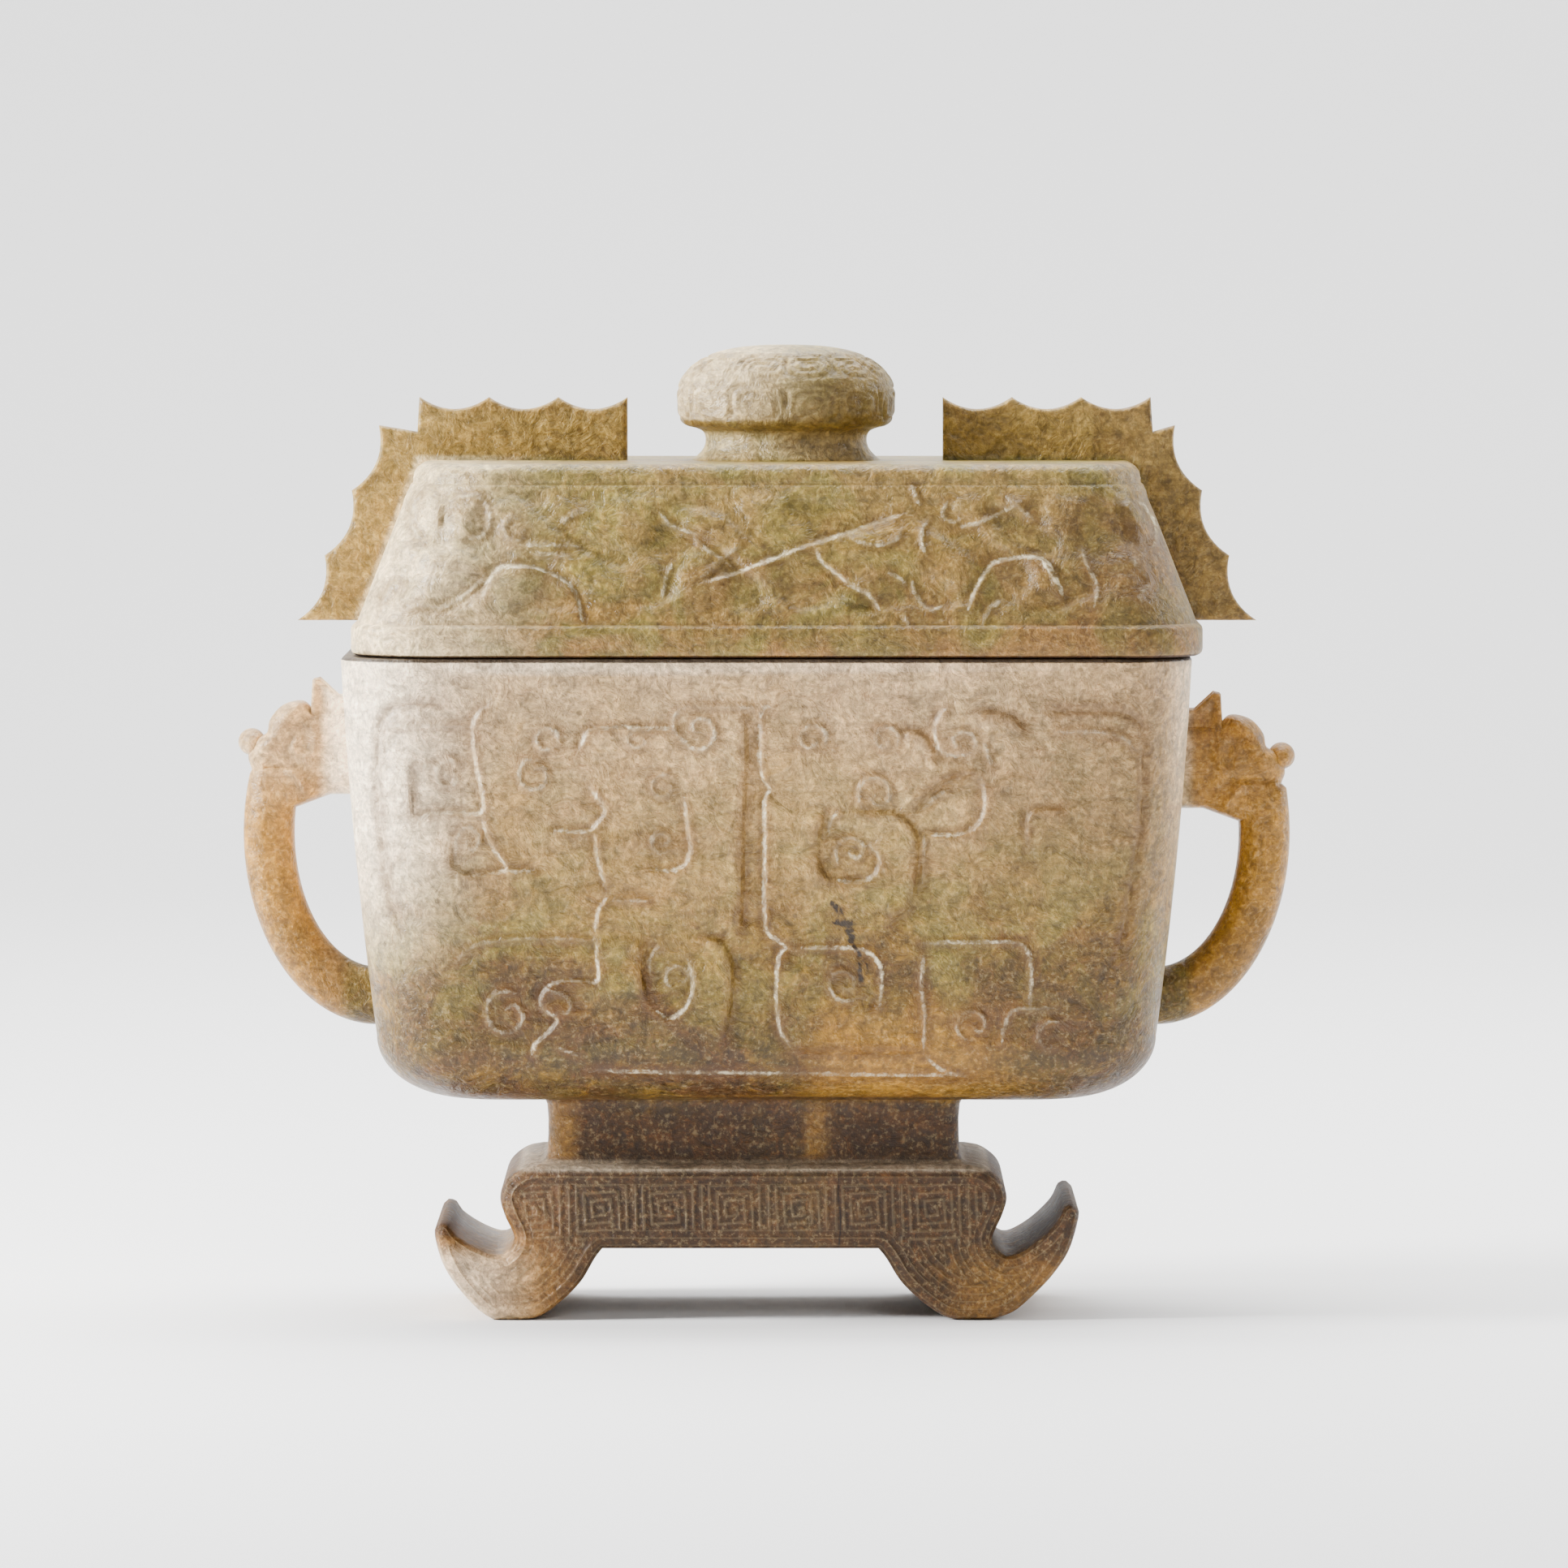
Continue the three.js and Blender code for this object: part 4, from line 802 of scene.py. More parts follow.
HEAD_TOP = [(0.867, -0.01), (0.9, 0.13), (0.85, 0.31), (0.73, 0.39), (0.7, 0.54), (0.59, 0.69), (0.41, 0.74),
            (0.31, 0.65)]
EAR = [(0.08, 0.81), (0.25, 1), (0.31, 0.98), (0.33, 0.56)]
BROW = [(0.72, 0.3), (0.6, 0.5), (0.47, 0.72)]


def ellipse(centre, radii, start, end, count):
    angles = np.linspace(start, end, count)
    return np.stack([centre[0] + radii[0] * np.cos(angles), centre[1] + radii[1] * np.sin(angles)], 1)


def handle_meshes(side):
    mouth = RIM - HEAD_DROPS[side]
    throat = mouth - HEAD_THROAT

    def head(places):
        return np.array([(RIM_LENGTH / 2 + x * HANDLE_PROJECTION, mouth + z * HEAD_HEIGHT) for x, z in places])

    root_x = float(body_half(RIM_LENGTH, BASE_LENGTH, mouth)) - WALL / 2
    bottom = BODY_BOTTOM + LOOP_BOTTOM
    foot_x = float(body_half(RIM_LENGTH, BASE_LENGTH, bottom)) - WALL / 2
    centre = (RIM_LENGTH / 2 - 5.6, bottom + LOOP_RISE)
    outer_x = HANDLE_PROJECTION - 1.1 + 5.6
    inner_x, inner_z = outer_x - ARM_WIDTH, LOOP_RISE - ARM_FOOT
    outer_end = math.asin(min(0.9, (mouth - HEAD_HEIGHT * 0.06 - centre[1]) / LOOP_RISE))
    inner_end = math.asin(min(0.9, (throat - HEAD_THROAT / 2 - centre[1]) / inner_z))
    outline = np.vstack([
        [(foot_x, bottom)],
        ellipse(centre, (outer_x, LOOP_RISE), -math.pi / 2, outer_end, 70),
        smooth_line(head(HEAD_TOP), 0.5),
        [(root_x, head(HEAD_TOP)[-1, 1]), (root_x, throat), (head([(0.15, 0)])[0, 0], throat)],
        ellipse(centre, (inner_x, inner_z), inner_end, -math.pi / 2, 60),
        [(foot_x, centre[1] - inner_z)],
    ])
    brow = smooth_line(head(BROW))
    mouth_line = smooth_line(head([(0.86, 0.02), (0.66, 0.03), (0.48, 0.03)]))
    jaw = smooth_line(head([(0.5, -0.02), (0.42, -0.12), (0.36, -0.3), (0.46, -0.42)]))
    cheek = smooth_line(head([(0.34, 0.5), (0.28, 0.3), (0.36, 0.14), (0.48, 0.2), (0.44, 0.34)]))

    def half_thickness(x, z, gap, face_side):
        half = rounded_edge(gap, HANDLE_DEPTH / 2, 4.3)
        on_head = soft_step(mouth - 6, mouth - 1, z)
        half = mix(half, rounded_edge(gap, HANDLE_DEPTH / 2 - 0.6, 3.2), on_head)
        half += 1.5 * np.exp(-(gap_to_line(x, z, brow)[0] / 1.9) ** 2)
        half -= 0.7 * np.exp(-(gap_to_line(x, z, mouth_line)[0] / 0.45) ** 2)
        half += 0.7 * np.exp(-(gap_to_line(x, z, jaw)[0] / 0.9) ** 2)
        half += 0.5 * np.exp(-(gap_to_line(x, z, cheek)[0] / 0.8) ** 2)
        return np.clip(half, 0.2, HANDLE_DEPTH / 2 + 0.6)

    ear = np.vstack([[(root_x, head([EAR[0]])[0, 1])], head(EAR), [(root_x, mouth + 0.25 * HEAD_HEIGHT)]])[::-1]
    parts = [plate("handle", outline, 0.55, half_thickness, (0.25, 0.6, 1.0, 1.5, 2.1))]
    for face in (-1, 1):
        def blade(x, z, gap, face_side, face=face):
            hollow = np.where(face_side == face, 0.55 * soft_step(0.5, 2.0, gap), 0)
            return rounded_edge(gap, 1.4, 0.5) - hollow
        parts.append(plate("ear", ear, 0.5, blade, (0.2, 0.45), middle=face * 2.5))
    nose = head([(1, 0.29)])[0]
    parts.append(ball("nose", (nose[0] - 2.65, 0, nose[1]), (2.5, 4.2, 2.5)))
    if side < 0:
        parts = [mirrored(part) for part in parts]
    return parts


# Lid

def hood_half(collar, top, z):
    return mix(collar / 2 - COLLAR_STEP, top / 2, (z - COLLAR_TOP) / (LID_TOP - COLLAR_TOP))


def hood_ring(z, pull=0.0, level=None):
    return (hood_half(RIM_LENGTH, RIM_LENGTH - 2 * HOOD_SLOPE_ENDS, z) - pull,
            hood_half(RIM_DEPTH, RIM_DEPTH - 2 * HOOD_SLOPE_FRONT, z) - pull,
            LID_CORNER, z if level is None else level, LID_SHIFT)


# How far the collar draws in, at each height above the rim
COLLAR_PROFILE = [(2.4, 0), (1.0, 0.12), (0.5, 0.4), (0.15, 0.8), (0, 1.4), (0, 2.6), (0, 4), (0, 4.9),
                  (0.12, 5.4), (0.4, 5.75), (0.8, 5.95), (1.1, 6.1)]
SHOULDER_ROUND = 2.4
ROOF_ROUND = 4.2


def lid_rings():
    mouth_length = float(body_half(RIM_LENGTH, BASE_LENGTH, RIM)) - WALL - LEDGE_CLEARANCE
    mouth_depth = float(body_half(RIM_DEPTH, BASE_DEPTH, RIM)) - WALL - LEDGE_CLEARANCE
    roof = LID_TOP - LID_ROOF
    inner = (mouth_length - LEDGE_WALL, mouth_depth - LEDGE_WALL)
    roof_length = min(inner[0], hood_ring(roof)[0] - WALL)
    roof_depth = min(inner[1], hood_ring(roof)[1] - WALL)
    bottom = RIM - LEDGE_DROP
    rings = [(0, 0, 0, roof, 0), (30, 12, 2, roof, 0)]
    for degrees in (0, 30, 60, 90):
        angle = math.radians(degrees)
        rings.append((roof_length - 4 + 4 * math.sin(angle), roof_depth - 4 + 4 * math.sin(angle), 6,
                      roof - ROOF_ROUND * (1 - math.cos(angle)), 0))
    for k in range(1, 6):
        share = k / 5
        rings.append((mix(roof_length, inner[0], share), mix(roof_depth, inner[1], share), 6.2,
                      mix(roof - ROOF_ROUND, COLLAR_TOP, share), 0))
    rings += [(*inner, 6.2, bottom + 0.4, 0), (inner[0] + 0.4, inner[1] + 0.4, 6.4, bottom, 0)]
    rings += [(mouth_length - 0.5, mouth_depth - 0.5, 8.2, bottom, 0),
              (mouth_length, mouth_depth, 8.5, bottom + 0.5, 0), (mouth_length, mouth_depth, 8.5, RIM - 0.4, 0),
              (mouth_length + 0.3, mouth_depth + 0.3, 8.7, RIM, 0)]
    half_length, half_depth = RIM_LENGTH / 2, RIM_DEPTH / 2
    for pull, rise in COLLAR_PROFILE:
        rings.append((half_length - pull, half_depth - pull, LID_CORNER, RIM + rise, LID_SHIFT))
    start = len(rings)
    rows = 70
    shoulder = LID_TOP - SHOULDER_ROUND
    for k in range(1, rows + 1):
        rings.append(hood_ring(mix(COLLAR_TOP + 0.3, shoulder, k / rows)))
    end = len(rings)
    for degrees in (15, 30, 45, 60, 75, 90):
        angle = math.radians(degrees)
        rings.append(hood_ring(shoulder, 2.6 * (1 - math.cos(angle)), shoulder + SHOULDER_ROUND * math.sin(angle)))
    rings += [(50, 24, 12, LID_TOP, LID_SHIFT), (35, 14, 8, LID_TOP, LID_SHIFT), (0, 0, 0, LID_TOP, LID_SHIFT)]
    return rings, start, end


def worn_clouds(x, z):
    """Rubbed cloud forms between the strokes of the hood, from -1 in the ground to 1 on top."""
    across = x / 4.6 + 1.4 * np.sin(z / 3.9 + 1.0) + 0.9 * np.sin(x / 7.7 + 0.4)
    upward = z / 3.3 + 1.5 * np.sin(x / 5.9) + 0.7 * np.sin((x + z) / 4.3)
    window = soft_step(COLLAR_TOP + 1.5, COLLAR_TOP + 4, z) * (1 - soft_step(149.5, 152.5, z))
    window = window * (1 - soft_step(64, 70, np.abs(x - LID_SHIFT)))
    return np.tanh(2.2 * np.sin(across) * np.sin(upward)) * window


def hood_mesh(lift):
    rings, start, end = lid_rings()

    def carved(points, turn, row, column):
        shown = (row >= start) & (row < end + 2)
        out = np.stack([turn[:, 0], turn[:, 1], np.full(len(turn), 0.33)], 1)
        line = -0.35 * np.exp(-((points[:, 2] - 153.6) / 0.35) ** 2) * shown
        front = np.flatnonzero(shown & (turn[:, 1] < -FACING))
        back = np.flatnonzero(shown & (turn[:, 1] > FACING))
        line[front] += carve(points[front, 0], points[front, 2], LID_STROKES, lift)[0]
        line[shown] += 0.8 * lift * worn_clouds(points[shown, 0], points[shown, 2])
        line[back] += carve(2 * LID_SHIFT - points[back, 0], points[back, 2], plainer(LID_STROKES), lift)[0]
        return points + out * line[:, None]

    return wrapped("hood", rings, ring_columns(290, 40, 50, 18, 130), carved)


def fret(width, height, pitch):
    """One square spiral, drawn inwards from its lower left."""
    left, right, low, high = 0.0, width, 0.0, height
    points = [(left, low)]
    while right - left > pitch and high - low > pitch:
        points += [(left, high), (right, high), (right, low + pitch), (left + pitch, low + pitch)]
        left, right, low, high = left + pitch, right - pitch, low + pitch, high - pitch
    return points


# Radius and height above the lid's top, from the foot of the knob up to its belly
KNOB_WAIST = [(0, -1), (17.5, -1), (17.5, 0), (16.6, 0.7), (15.4, 2.0), (14.9, 3.4), (15.0, 4.6), (15.5, 5.4),
              (16.6, 5.9), (18.2, 6.3), (19.2, 6.9), (19.8, 7.8), (20.15, 9.2)]
KNOB_BELLY = 10.65
CROWN_POWER = 2.6


def knob_profile():
    waist = np.array(KNOB_WAIST) + [0, LID_TOP]
    crown = [(KNOB_HALF * (1 - t ** CROWN_POWER) ** (1 / CROWN_POWER), LID_TOP + KNOB_BELLY * (1 + t))
             for t in np.sin(np.linspace(0, math.pi / 2, 34))]
    return np.vstack([waist[:3], smooth_line(waist[3:], 0.45), crown[1:]])


def knob_frets():
    """Two rows of square spirals round the knob, unrolled flat, with the length of the row."""
    units, pitch, height = 12, 1.3, 6.6
    girth = 2 * math.pi * KNOB_HALF * 0.85
    unit = girth / units
    frets = []
    for k in range(units):
        for row, base in enumerate((1.2, 9.4)):
            shape = np.array(fret(unit - pitch, height, pitch))
            if (k + row) % 2:
                shape = shape * [-1, 1] + [unit - pitch, 0]
            frets.append(("fret", "groove", 0, -0.25, shape + [k * unit + 0.6, base]))
    return frets, girth


def knob_unrolled(x, y, z):
    """Where points of the knob lie on its unrolled surface: round from the back, and up from the waist."""
    profile = knob_profile()
    travel = np.concatenate([[0], np.cumsum(np.hypot(*np.diff(profile, axis=0).T))])
    start = int(np.argmax(profile[:, 1] > LID_TOP + 6.2))
    around = (np.arctan2(y, x) / (2 * math.pi) + 0.75) % 1 * knob_frets()[1]
    return around, np.interp(z, profile[start:, 1], travel[start:] - travel[start], left=-1)


def knob_mesh():
    rings = [(r, r, r, z, 0) for r, z in knob_profile()]
    frets = knob_frets()[0]

    def carved(points, turn, row, column):
        around, up = knob_unrolled(turn[:, 0], turn[:, 1], points[:, 2])
        shown = np.flatnonzero((up > 0) & (up < 17.6))
        depth = np.zeros(len(points))
        depth[shown] = carve(around[shown], up[shown], frets, 0.75)[0]
        out = np.stack([turn[:, 0], turn[:, 1], soft_step(8, 16, up) * 0.8], 1)
        points = points + out * depth[:, None]
        points[:, 1] *= KNOB_FLATNESS
        points[:, 0] += KNOB_AXIS
        return points

    return wrapped("knob", rings, ring_columns(0, 90, 0, 90, 0), carved)


def scallops(start, end, inward, count=3):
    line = []
    for k in range(count):
        first, last = mix(start, end, k / count), mix(start, end, (k + 1) / count)
        dip = mix(first, last, 0.5) + inward * SCALLOP_DIP * 2
        for step in range(12):
            t = step / 12
            line.append((1 - t) ** 2 * first + 2 * t * (1 - t) * dip + t * t * last)
    line.append(end)
    return np.array(line)


def flange_mesh(side):
    inner_x = side * FLANGE_AXIS + FLANGE_GAP / 2
    outer_x = inner_x + TOP_FLANGE_LENGTH
    shelf = FLANGE_TOP - (FLANGE_TOP - LID_TOP) / 2
    top_length = RIM_LENGTH - 2 * HOOD_SLOPE_ENDS
    side_top = np.array([side * LID_SHIFT + top_length / 2 + 8, shelf + 0.6])
    side_foot = np.array([side * LID_SHIFT + RIM_LENGTH / 2 + 11, COLLAR_TOP - 0.6])
    outward = (side_foot - side_top) / np.linalg.norm(side_foot - side_top)
    root_x = side * LID_SHIFT + top_length / 2 - WALL / 2
    outline = np.vstack([
        [(inner_x, LID_TOP - 1.5)],
        scallops(np.array([inner_x, FLANGE_TOP]), np.array([outer_x, FLANGE_TOP]), np.array([0, -1])),
        [(outer_x + 0.4, shelf - 0.6)],
        scallops(side_top, side_foot, np.array([outward[1], -outward[0]])),
        [(side * LID_SHIFT + RIM_LENGTH / 2 - COLLAR_STEP - 3, side_foot[1]), (root_x, LID_TOP - 4)],
    ])[::-1]
    cuts = []
    for k in range(9):
        x = inner_x + 4.2 * k + 2.2 * math.sin(3.1 * k)
        cuts.append(("cut", "groove", 0, -0.3, [(x, LID_TOP + 0.5), (x + 0.2, FLANGE_TOP - 1.6 - (k % 3))]))

    def half_thickness(x, z, gap, face_side):
        half = rounded_edge(gap, FLANGE_THICKNESS / 2, 0.7)
        return half + 0.4 * carve(x, z, cuts, 0.5)[0]

    mesh = plate("flange", outline, 0.7, half_thickness, (0.2, 0.45, 0.8))
    return mesh if side > 0 else mirrored(mesh)


# Materials

def linear(colour):
    """An sRGB hex colour as linear light."""
    parts = [int(colour[k:k + 2], 16) / 255 for k in (1, 3, 5)]
    return tuple(part / 12.92 if part <= 0.04045 else ((part + 0.055) / 1.055) ** 2.4 for part in parts) + (1,)


def node(tree, kind, settings=None, **inputs):
    """Adds a node with its settings; an input is a value or another node's output."""
    made = tree.nodes.new(kind)
    for key, value in (settings or {}).items():
        setattr(made, key, value)
    for key, value in inputs.items():
        numbered = key[0] == "i" and key[1:].isdigit()
        socket = made.inputs[int(key[1:]) if numbered else key.replace("_", " ")]
        if isinstance(value, bpy.types.NodeSocket):
            tree.links.new(value, socket)
        else:
            socket.default_value = value
    return made


def sums(tree, operation, a, b=0.0, c=0.0):
    return node(tree, "ShaderNodeMath", {"operation": operation}, i0=a, i1=b, i2=c).outputs[0]


def times(tree, a, b):
    return sums(tree, "MULTIPLY", a, b)


def spread(tree, value, by, onto):
    """Moves a value up and down with a noise that runs round 0.5."""
    return sums(tree, "MULTIPLY_ADD", sums(tree, "SUBTRACT", value, 0.5), by, onto)


def between(tree, value, low, high, start=0.0, end=1.0):
    """Eases a value from one range into another."""
    return node(tree, "ShaderNodeMapRange", {"interpolation_type": "SMOOTHSTEP"}, Value=value, i1=low, i2=high,
                i3=start, i4=end).outputs[0]


def blend(tree, amount, a, b, kind="MIX"):
    settings = {"data_type": "RGBA", "blend_type": kind, "clamp_factor": True}
    return node(tree, "ShaderNodeMix", settings, i0=amount, i6=a, i7=b).outputs[2]


def noise(tree, vector, size, detail=4.0, roughness=0.55, distortion=0.0):
    """Noise whose clouds are about the given size in millimetres."""
    return node(tree, "ShaderNodeTexNoise", None, Vector=vector, Scale=1 / (size * MM), Detail=detail,
                Roughness=roughness, Distortion=distortion).outputs[0]


def ramp(tree, value, stops):
    made = node(tree, "ShaderNodeValToRGB", None, Fac=value)
    bar = made.color_ramp
    while len(bar.elements) < len(stops):
        bar.elements.new(0.5)
    for element, (place, colour) in zip(bar.elements, stops):
        element.position = place
        element.color = linear(colour)
    return made.outputs[0]


def stone(name, stops, looks):
    """Polished nephrite: a waxy, close-grained stone, so light goes a little way in and highlights are soft.

    The masks painted on the piece say where it is amber, dark or pale, how far a point is from a carved line
    and whether that line has a painted highlight or painted shade, and where the black inclusion and the
    painted shade along the seams lie; the dark and pale masks also hold some painted shade and painted
    highlights. The clouds, rusty veins, brushed grain, pale specks and small pits come from patterns.
    """
    material = bpy.data.materials.new(name)
    material.use_nodes = True
    tree = material.node_tree
    tree.nodes.clear()
    place = node(tree, "ShaderNodeTexCoord").outputs["Object"]
    axes = node(tree, "ShaderNodeSeparateXYZ", None, Vector=place)
    carving = node(tree, "ShaderNodeAttribute", {"attribute_name": "carving"})
    zones = node(tree, "ShaderNodeAttribute", {"attribute_name": "zones"})
    cut = node(tree, "ShaderNodeSeparateColor", None, Color=carving.outputs["Color"])
    zone = node(tree, "ShaderNodeSeparateColor", None, Color=zones.outputs["Color"])

    wide = noise(tree, place, 42, 3, 0.5, 0.6)
    cloud = noise(tree, place, 15, 4, 0.62, 0.8)
    patch = noise(tree, place, 6, 4, 0.65, 1.2)
    stretched = node(tree, "ShaderNodeMapping", None, Vector=place, Scale=(0.16, 0.3, 1.0)).outputs[0]
    grain = noise(tree, stretched, 1.3, 3, 0.7)
    streak = noise(tree, stretched, 5, 3, 0.6)
    fleck = noise(tree, place, 2.2, 4, 0.75, 0.9)
    dust = noise(tree, place, 0.9, 3, 0.7)
    specks = node(tree, "ShaderNodeTexVoronoi", None, Vector=place, Scale=1 / (1.7 * MM)).outputs["Distance"]
    pits = node(tree, "ShaderNodeTexVoronoi", None, Vector=place, Scale=1 / (6 * MM)).outputs["Distance"]

    shifted = axes.outputs[2]
    for pattern, reach in ((wide, 0.05), (cloud, 0.03), (patch, 0.012)):
        shifted = spread(tree, pattern, reach, shifted)
    colour = ramp(tree, sums(tree, "DIVIDE", shifted, 0.18), stops)
    low = between(tree, axes.outputs[2], 0.11, 0.07, 0.35, 1.0)
    low = times(tree, low, between(tree, axes.outputs[2], 0.05, 0.07, 0.3, 1.0))
    low = sums(tree, "MAXIMUM", low, between(tree, axes.outputs[2], 0.121, 0.123))
    vein = sums(tree, "ABSOLUTE", sums(tree, "SUBTRACT", patch, 0.5))
    vein = times(tree, between(tree, vein, 0.02, 0.0), between(tree, fleck, 0.42, 0.6))
    for amount, tint in (
        (times(tree, between(tree, cloud, 0.4, 0.62, 0, 0.62), low), looks.green),
        (between(tree, wide, 0.52, 0.7, 0, 0.35), looks.ochre),
        (between(tree, patch, 0.55, 0.7, 0, 0.35), looks.ochre),
        (times(tree, zone.outputs[0], 0.92), looks.amber),
        (times(tree, zone.outputs[1], 0.92), looks.dark),
        (times(tree, zone.outputs[2], 0.85), looks.pale),
        (between(tree, streak, 0.5, 0.7, 0, 0.3), looks.brown),
        (times(tree, vein, 0.6), looks.brown),
        (between(tree, grain, 0.44, 0.28, 0, 0.22), looks.brown),
    ):
        colour = blend(tree, amount, colour, tint)

    upright = node(tree, "ShaderNodeMapping", None, Vector=place, Scale=(1.0, 0.3, 0.2)).outputs[0]
    combed = noise(tree, upright, 1.6, 2, 0.65)
    light = 1.0
    for pattern, *eased in (
        (fleck, 0.3, 0.7, 0.62, 1.46), (grain, 0.3, 0.7, 0.9, 1.12), (combed, 0.3, 0.7, 0.93, 1.08),
        (dust, 0.3, 0.7, 0.78, 1.25), (patch, 0.35, 0.65, 0.86, 1.14), (specks, 0.3, 0.08, 1.0, 1.25),
    ):
        light = times(tree, light, between(tree, pattern, *eased))
    colour = blend(tree, 1.0, colour, light, "MULTIPLY")
    colour = blend(tree, between(tree, dust, 0.52, 0.7, 0, 0.16), colour, looks.fleck)
    pit = times(tree, between(tree, pits, 0.12, 0.05), between(tree, fleck, 0.45, 0.5, 0, 0.6))
    colour = blend(tree, pit, colour, looks.shadow)

    gap = times(tree, cut.outputs[0], GAP_REACH)
    wobble = spread(tree, dust, 1.4, gap)
    worn = times(tree, between(tree, fleck, 0.38, 0.58, 0.2, 1.0),
                 between(tree, patch, 0.42, 0.58, 0.25, 1.0))
    # The carved lines, broken up by noise: pale ones are a painted highlight on edges that face the light, partly
    # pale worn stone; dark ones are painted shade on walls turned from the light and in grooves.
    line = times(tree, between(tree, wobble, 0.5, 0.0), worn)
    tone = sums(tree, "MULTIPLY_ADD", cut.outputs[1], 2.0, -1.0)
    highlight_and_worn_line = times(tree, line, sums(tree, "MAXIMUM", tone, 0.0))
    shade_line = times(tree, line, sums(tree, "MAXIMUM", times(tree, tone, -1.0), 0.0))
    # Browner within about 2 mm of a carved line.
    browner_near_lines = between(tree, wobble, 2.2, 0.7, 0.0, 0.35)
    colour = blend(tree, browner_near_lines, colour, looks.brown)
    colour = blend(tree, times(tree, highlight_and_worn_line, 0.75), colour, looks.line)
    colour = blend(tree, times(tree, shade_line, 0.75), colour, looks.shadow)
    fret = key_fret(tree, axes, cut.outputs[2])
    colour = blend(tree, times(tree, fret, 0.07), colour, looks.fleck)
    # The black inclusion and the crack in the stone, and painted shade along the seams.
    ragged = spread(tree, dust, 0.9, zones.outputs["Alpha"])
    ragged = times(tree, between(tree, ragged, 0.35, 0.75), sums(tree, "SIGN", zones.outputs["Alpha"]))
    colour = blend(tree, times(tree, ragged, 0.93), colour, looks.stain)

    shader = node(tree, "ShaderNodeBsdfPrincipled", None, Base_Color=colour, IOR=1.61)
    shader.inputs["Specular IOR Level"].default_value = 0.25
    shader.inputs["Subsurface Weight"].default_value = 0.12
    shader.inputs["Subsurface Radius"].default_value = (1.0, 0.7, 0.4)
    shader.inputs["Subsurface Scale"].default_value = 0.004
    rough = between(tree, fleck, 0.3, 0.75, looks.roughness - 0.08, looks.roughness + 0.1)
    rough = sums(tree, "MULTIPLY_ADD", zone.outputs[1], 0.25, rough)
    tree.links.new(rough, shader.inputs["Roughness"])

    relief = sums(tree, "MULTIPLY_ADD", patch, 1.3, times(tree, fleck, 0.75))
    bump = node(tree, "ShaderNodeBump", None, Strength=0.6, Distance=0.0009, Height=relief)
    tree.links.new(bump.outputs[0], shader.inputs["Normal"])
    node(tree, "ShaderNodeOutputMaterial", None, Surface=shader.outputs[0])
    return material


def key_fret(tree, axes, edge):
    """The same lines as the stand's mesh has, for the paler stone that stands between the cuts."""
    width, height, pitch = KEY_WIDTH * MM, KEY_HEIGHT * MM, KEY_PITCH * MM
    across = sums(tree, "FRACT", sums(tree, "DIVIDE", axes.outputs[0], width))
    up = sums(tree, "DIVIDE", sums(tree, "SUBTRACT", axes.outputs[2], KEY_BASE * MM), height)
    up = sums(tree, "FRACT", up)
    across = times(tree, sums(tree, "SUBTRACT", across, 0.5), width)
    up = times(tree, sums(tree, "SUBTRACT", up, 0.5), height)
    square = sums(tree, "MAXIMUM", sums(tree, "ABSOLUTE", across), sums(tree, "ABSOLUTE", up))
    turn = sums(tree, "DIVIDE", sums(tree, "ARCTAN2", up, across), 2 * math.pi)
    spiral = sums(tree, "FRACT", sums(tree, "ADD", sums(tree, "DIVIDE", square, pitch), turn))
    key = between(tree, sums(tree, "PINGPONG", spiral, 0.5), 0.22, 0.42)
    key = times(tree, key, between(tree, edge, 0.32, 0.36))
    key = times(tree, key, between(tree, axes.outputs[2], 0.0135, 0.0145))
    round_edge = sums(tree, "PINGPONG", times(tree, edge, 10 / KEY_PITCH), 0.5)
    border = between(tree, round_edge, 0.34, 0.46)
    border = times(tree, border, between(tree, edge, 0.05, 0.08))
    bands = sums(tree, "MAXIMUM", between(tree, edge, 0.36, 0.34), between(tree, axes.outputs[2], 0.0145, 0.0135))
    return sums(tree, "MAXIMUM", key, times(tree, border, bands))


# Settings that a user would change

def colour_setting(name, description, default):
    return bpy.props.FloatVectorProperty(name=name, description=description, default=linear(default), size=4,
                                         min=0, max=1, subtype="COLOR")


def size_setting(name, description, default):
    return bpy.props.FloatProperty(name=name, description=description, default=default, min=0.0, unit="LENGTH",
                                   precision=5)


class VaseVesselSettings(bpy.types.PropertyGroup):
    relief: size_setting("Relief", "How far the carving stands off the wall", 0.0009)
    green: colour_setting("Green", "Olive clouds in the stone", "#6d6427")
    ochre: colour_setting("Ochre", "Wide ochre clouds", "#85601a")
    amber: colour_setting("Amber", "Warm stone of the handles and feet", "#93681f")
    # The dark colour also stands for painted shade: on the front of the body towards the right, low on the body's
    # right above the neck, and on the upturned tips of the feet.
    dark: colour_setting("Dark", "Brown stone of the neck and stand", "#33200f")
    # The pale colour also stands for painted highlights: along the stand's top edge and on the body's right
    # corner.
    pale: colour_setting("Pale", "Creamy stone of the left side", "#f8e4c6")
    brown: colour_setting("Brown", "Brown stain in the grain", "#5a381a")
    fleck: colour_setting("Fleck", "Fine pale network", "#d0bb8c")
    # The line colour is a painted highlight on carved edges that face the light, partly pale worn stone.
    line: colour_setting("Line", "Pale worn edges of the carving", "#f0e2bf")
    # The shadow colour is painted shade on carved walls turned from the light and in grooves; it also darkens the
    # small pits.
    shadow: colour_setting("Shadow", "Dirt held in the carving", "#38260f")
    # The stain colour is the black inclusion and the crack in the stone, and painted shade along the seam under
    # the lid.
    stain: colour_setting("Stain", "Black inclusion and dirt in the seam", "#1b110b")
    roughness: bpy.props.FloatProperty(name="Roughness", description="Polish of the stone", default=0.36, min=0,
                                       max=1, subtype="FACTOR")


